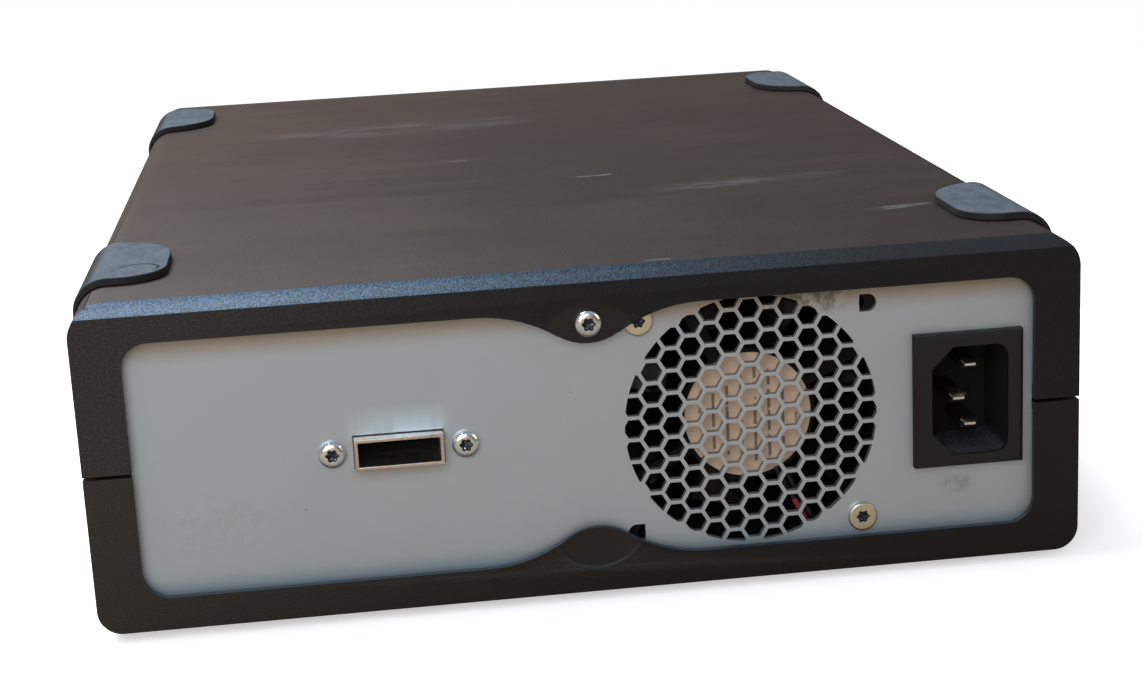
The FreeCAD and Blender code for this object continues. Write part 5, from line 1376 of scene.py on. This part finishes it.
FERRITE = Moulded("transformer_ferrite", (0.06, 0.055, 0.05), 0.5, 0.8, 0.03)
SINK = Metal("sink_extruded", (0.7, 0.7, 0.72), 0.42, lines=(1.0, 1.0, 0.1))
BUTTON = Moulded("button_satin", (0.02, 0.02, 0.022), 0.34, 0.3, 0.01)
GUIDE = Moulded("light_guide", (0.1, 0.42, 0.16), 0.2, 2.0, 0.01)
FRONT = Moulded("front_grain", (0.017, 0.0165, 0.017), 0.45, 0.42, 0.06, dust=0.4)
DOOR = Moulded("door_satin", (0.02, 0.02, 0.022), 0.36, 0.35, 0.02)
MOTOR = Metal("motor_can", (0.5, 0.5, 0.52), 0.38)
HUB = Moulded("hub_acetal", (0.62, 0.61, 0.57), 0.4, 0.7, 0.01)
REEL = Moulded("reel_grey", (0.13, 0.13, 0.14), 0.38, 0.6, 0.01)
ROLLER = Metal("roller_ground", (0.72, 0.72, 0.73), 0.16, grain=0.5, mottle=0.03)
HEAD = Metal("head_lapped", (0.36, 0.35, 0.33), 0.22, grain=0.4)
PLUG = Moulded("plug_nylon", (0.55, 0.53, 0.47), 0.45, 0.6, 0.01)
FAN_WIRES = Loom("fan_jackets", (0.01, 0.01, 0.01), 0.42, ((0.34, 0.035, 0.055),), 23.0)
MAINS_WIRES = Loom(
    "mains_jackets", (0.12, 0.05, 0.02), 0.42, ((0.02, 0.06, 0.3), (0.2, 0.3, 0.03))
)
GREY_CABLE = Moulded("cable_grey", (0.1, 0.1, 0.1), 0.5, 0.8, 0.02)
BLACK_CABLE = Moulded("cable_black", (0.015, 0.015, 0.015), 0.45, 0.8, 0.02)
PAN_SCREW = LobeScrew(HeadForm.PAN)


# ---------------------------------------------------------------------------- sub-assemblies
@dataclass(frozen=True)
class Case:
    """The two shells, the front bezel, the corner pads and the screw that closes them."""

    shell_ease: float = 0.25
    front_ease: float = 0.3
    pad_ease: float = 0.5
    screw: LobeScrew = PAN_SCREW

    def build(self) -> None:
        """Make and dress every piece of the case."""
        eased("upper_shell", TOP_SHELL, self.shell_ease)
        eased("lower_shell", BOTTOM_SHELL, self.shell_ease)
        eased("front_bezel", FRONT, self.front_ease)
        for level in ("top", "foot"):
            for end in ("rear", "front"):
                for hand in ("left", "right"):
                    eased(f"{level}_pad_{end}_{hand}", PAD, self.pad_ease, 3)
        self.screw.fit("shell_screw", Facing.REAR, ZINC, "screw_steel")


@dataclass(frozen=True)
class Chassis:
    """The tray, the punched rear panel and the screws in both."""

    panel_ease: float = 0.14
    tray_ease: float = 0.2
    screw: LobeScrew = PAN_SCREW

    def build(self) -> None:
        """Make and dress the sheet-metal pieces."""
        eased("rear_panel", PANEL, self.panel_ease)
        eased("chassis_tray", TRAY, self.tray_ease)
        self.screw.fit("tray_screws", Facing.UP, ZINC, "screw_steel")
        for hand in ("left", "right"):
            eased(f"drive_bracket_{hand}", TRAY, self.tray_ease)


@dataclass(frozen=True)
class Fan:
    """The square fan with its moulded frame, rotor, hub label, leads and wafer-head screws."""

    frame_ease: float = 0.2
    screw: LobeScrew = LobeScrew(HeadForm.WAFER, 1.2, socket=1.3, depth=1.0)

    def build(self) -> None:
        """Make and dress the fan."""
        eased("fan_frame", FAN_BLACK, self.frame_ease)
        eased("fan_rotor", BLADE_BLACK)
        eased("fan_label", PAPER)
        eased("fan_leads", FAN_WIRES)
        self.screw.fit("fan_screws", Facing.REAR, CREAM_ZINC, "wafer_steel")


@dataclass(frozen=True)
class Connectors:
    """The mains inlet and the data port with their boards, screws and cables."""

    cage_ease: float = 0.15
    screw: LobeScrew = LobeScrew(HeadForm.PAN, socket=1.32)
    pins: TaperedPins = TaperedPins()

    def build(self) -> None:
        """Make and dress the connectors."""
        dress("inlet_body", INLET)
        self.pins.fit("inlet_pins", PIN, "pin_metal")
        eased("inlet_leads", MAINS_WIRES)
        eased("port_cage", PORT, self.cage_ease)
        dress("port_insert", CORE)
        dress("port_board", BOARD)
        eased("data_cable", GREY_CABLE)
        self.screw.fit("port_screws", Facing.REAR, ZINC, "screw_steel")


@dataclass(frozen=True)
class Supply:
    """The open-frame power supply behind the mains inlet."""

    core_ease: float = 0.4
    sink_ease: float = 0.15
    can_top: float = 1.0

    def build(self) -> None:
        """Dress the supply's pieces."""
        dress("supply_board", BOARD)
        eased("supply_transformer", FERRITE, self.core_ease)
        _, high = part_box("supply_capacitors")
        crown = high.z / MM - self.can_top
        sleeve = Sleeve("capacitor_sleeve", (0.012, 0.014, 0.04), 0.35, crown)
        eased("supply_capacitors", sleeve)
        eased("supply_heat_sink", SINK, self.sink_ease)
        eased("supply_cable", BLACK_CABLE)


@dataclass(frozen=True)
class FrontControls:
    """The power button with its switch board and light guide."""

    button_ease: float = 0.35

    def build(self) -> None:
        """Dress the controls."""
        eased("power_button", BUTTON, self.button_ease, 3)
        dress("power_switch", BOARD)
        dress("power_light", GUIDE)


@dataclass(frozen=True)
class TapeDrive:
    """The half-height cartridge drive: casting, cover, front, loader and tape path."""

    can_ease: float = 0.2
    front_ease: float = 0.3
    button_ease: float = 0.35
    sheet_ease: float = 0.12
    hub_ease: float = 0.15
    roller_ease: float = 0.1
    screw: LobeScrew = PAN_SCREW

    def build(self) -> None:
        """Make and dress the drive's pieces."""
        eased("drive_base", CAST, self.can_ease)
        eased("drive_cover", DRIVE_STEEL, self.can_ease)
        eased("drive_bezel", FRONT, self.front_ease)
        eased("cartridge_door", DOOR, self.front_ease)
        eased("eject_button", BUTTON, self.button_ease, 3)
        for sheet in ("loader_slide", "cartridge_cage"):
            eased(sheet, DRIVE_STEEL, self.sheet_ease)
        eased("reel_motors", MOTOR, self.can_ease)
        eased("supply_hub", HUB, self.hub_ease)
        eased("takeup_reel", REEL, self.hub_ease)
        for number in range(1, 5):
            eased(f"guide_roller_{number}", ROLLER, self.roller_ease)
        eased("tape_head", HEAD, self.can_ease)
        eased("head_rods", ROLLER)
        eased("threader_rail", DRIVE_STEEL, self.roller_ease)
        eased("threader", HUB, self.hub_ease)
        dress("main_board", BOARD)
        dress("drive_plugs", PLUG)
        self.screw.fit("drive_screws", Facing.ASIDE, ZINC, "screw_steel")


# ------------------------------------------------------------------------ floor, light, camera
@dataclass(frozen=True)
class SoftBox:
    """A square studio light that points at a spot."""

    name: str
    place: Spot
    aim: Spot
    side: float
    power: float
    tint: Colour

    def hang(self) -> None:
        """Put the light up."""
        data = bpy.data.lights.new(self.name, "AREA")
        data.shape = "SQUARE"
        data.size = self.side
        data.energy = self.power
        data.color = self.tint
        lamp = stand(self.name, data)
        way = Vector(self.aim) - Vector(self.place)
        lamp.location = self.place
        lamp.rotation_euler = way.to_track_quat("-Z", "Y").to_euler()


@dataclass(frozen=True)
class Viewpoint:
    """Where the camera stands and how it is turned.

    Heading is the turn of the view from -Y towards -X, dip is below the horizon, and
    lean tips the picture's right side down, all in degrees.
    """

    stand: Spot
    heading: float
    dip: float
    lean: float
    lens: float
    shift: Span

    def set_up(self) -> None:
        """Make the camera and use it."""
        turn, dip, lean = (math.radians(angle) for angle in (self.heading, self.dip, self.lean))
        flat = math.cos(dip)
        ahead = Vector((-math.sin(turn) * flat, -math.cos(turn) * flat, -math.sin(dip)))
        level = ahead.cross(Vector((0, 0, 1))).normalized()
        right = level * math.cos(lean) + ahead.cross(level) * math.sin(lean)
        axes = Matrix((right, right.cross(ahead), -ahead)).transposed().to_4x4()
        data = bpy.data.cameras.new("viewpoint")
        data.lens = self.lens
        data.shift_x, data.shift_y = self.shift
        data.clip_start = 0.01
        camera = stand("viewpoint", data)
        camera.matrix_world = Matrix.Translation(self.stand) @ axes
        bpy.context.scene.camera = camera


@dataclass(frozen=True)
class Studio:
    """A pale floor under soft light, white to the eye in the distance, in metres."""

    floor_rings: tuple[float, ...] = (0.0001, 0.3, 0.8, 3.0)
    floor_columns: int = 96
    floor_drop: float = 0.00005
    floor_fade: Span = (0.35, 0.9)
    floor_tone: Colour = (0.8, 0.8, 0.8)
    bench_tone: Colour = (0.3, 0.26, 0.22)
    floor_glow: float = 0.5
    zenith: Colour = (0.32, 0.36, 0.42)
    horizon: Colour = (0.46, 0.34, 0.27)
    shade_side: Colour = (0.16, 0.09, 0.05)
    boxes: tuple[SoftBox, ...] = (
        SoftBox("overhead", (0.4, -0.14, 0.97), (0.05, 0.1, 0.05), 0.7, 17.0, (0.85, 0.93, 1.0)),
        SoftBox("behind_camera", (0.35, 1.1, 0.55), (0.0, 0.1, 0.03), 0.8, 7.0, (0.95, 0.98, 1.0)),
        SoftBox("warm_side", (-0.9, 0.5, 0.5), (0.0, 0.1, 0.03), 0.6, 1.6, (1.0, 0.86, 0.7)),
    )
    view: Viewpoint = Viewpoint(
        stand=(0.05142, 0.58955, 0.17694),
        heading=6.3017,
        dip=14.2328,
        lean=2.8423,
        lens=65.602,
        shift=(-0.002414, -0.025713),
    )

    def floor_finish(self) -> bpy.types.Material:
        """White to the eye with its shadow, a warm bench to reflections, clear from below."""
        shade = Shade("floor_pale")
        shade.set(Base_Color=self.floor_tone, Roughness=0.9, Specular_IOR_Level=0.1)
        shade.set(Emission_Color=WHITE, Emission_Strength=self.floor_glow)
        x, y, _ = shade.axes()
        far = (distance(x, y) * MM).ramp(*self.floor_fade)
        glow = shade.node("Emission", {}, {"Color": WHITE, "Strength": 1.0})
        bench = shade.node("BsdfDiffuse", {}, {"Color": self.bench_tone})
        above = shade.cross(shade.seen(), bench, shade.cross(far, shade.surface, glow))
        under = shade.node("NewGeometry", output="Backfacing")
        shade.close(shade.cross(under, above, shade.node("BsdfTransparent")))
        return shade.material

    def lay_floor(self) -> None:
        """A disc that the object stands on, a hair under its pads.

        Point (i, j) is (r cos a, r sin a) at the floor's level, with r the i-th ring's
        radius and a the j-th share of a turn.
        """
        profile = np.array([(radius, -self.floor_drop) for radius in self.floor_rings])
        points = lathe(profile, np.ones((len(profile), self.floor_columns)))
        faces = grid_faces(*points.shape[:2])[:, ::-1]
        mesh = bpy.data.meshes.new("floor")
        mesh.from_pydata(points.reshape(-1, 3).tolist(), [], faces.tolist())
        mesh.materials.append(self.floor_finish())
        stand("floor", mesh)

    def light_sky(self) -> None:
        """The world: white to the eye, and as light a cool sky over a warm room.

        With d the direction looked in, the tone goes from the horizon's to the zenith's
        as d's height rises, and towards the shaded side's as d turns to -X or to +Y.
        """
        world = bpy.data.worlds.new("sky")
        shade = Shade.of_world(world)
        across, along, up = shade.parts(shade.node("TexCoord", output="Generated"))
        side = (across * -1.2 + along * 0.3).ramp(-0.5, 0.4)
        low = shade.mix(side, self.horizon, self.shade_side)
        tone = shade.mix(up.ramp(0.15, 0.8), low, self.zenith)
        room = shade.node("Background", {}, {"Color": tone, "Strength": 1.0})
        white = shade.node("Background", {}, {"Color": WHITE, "Strength": 1.0})
        shade.close(shade.cross(shade.seen(), room, white))
        bpy.context.scene.world = world

    def build(self) -> None:
        """Set the stage, the lights and the camera."""
        self.lay_floor()
        self.light_sky()
        for light in self.boxes:
            light.hang()
        self.view.set_up()
        bpy.context.scene.view_settings.view_transform = "Standard"


def main() -> None:
    """Build the studio and every sub-assembly in order."""
    logging.basicConfig(level=logging.INFO, format="%(name)s %(message)s")
    drive = (Case, Chassis, Fan, Connectors, Supply, FrontControls, TapeDrive)
    for kind in (Studio, *drive):
        LOG.info("building %s", kind.__name__)
        kind().build()


if __name__ == "__main__":
    main()
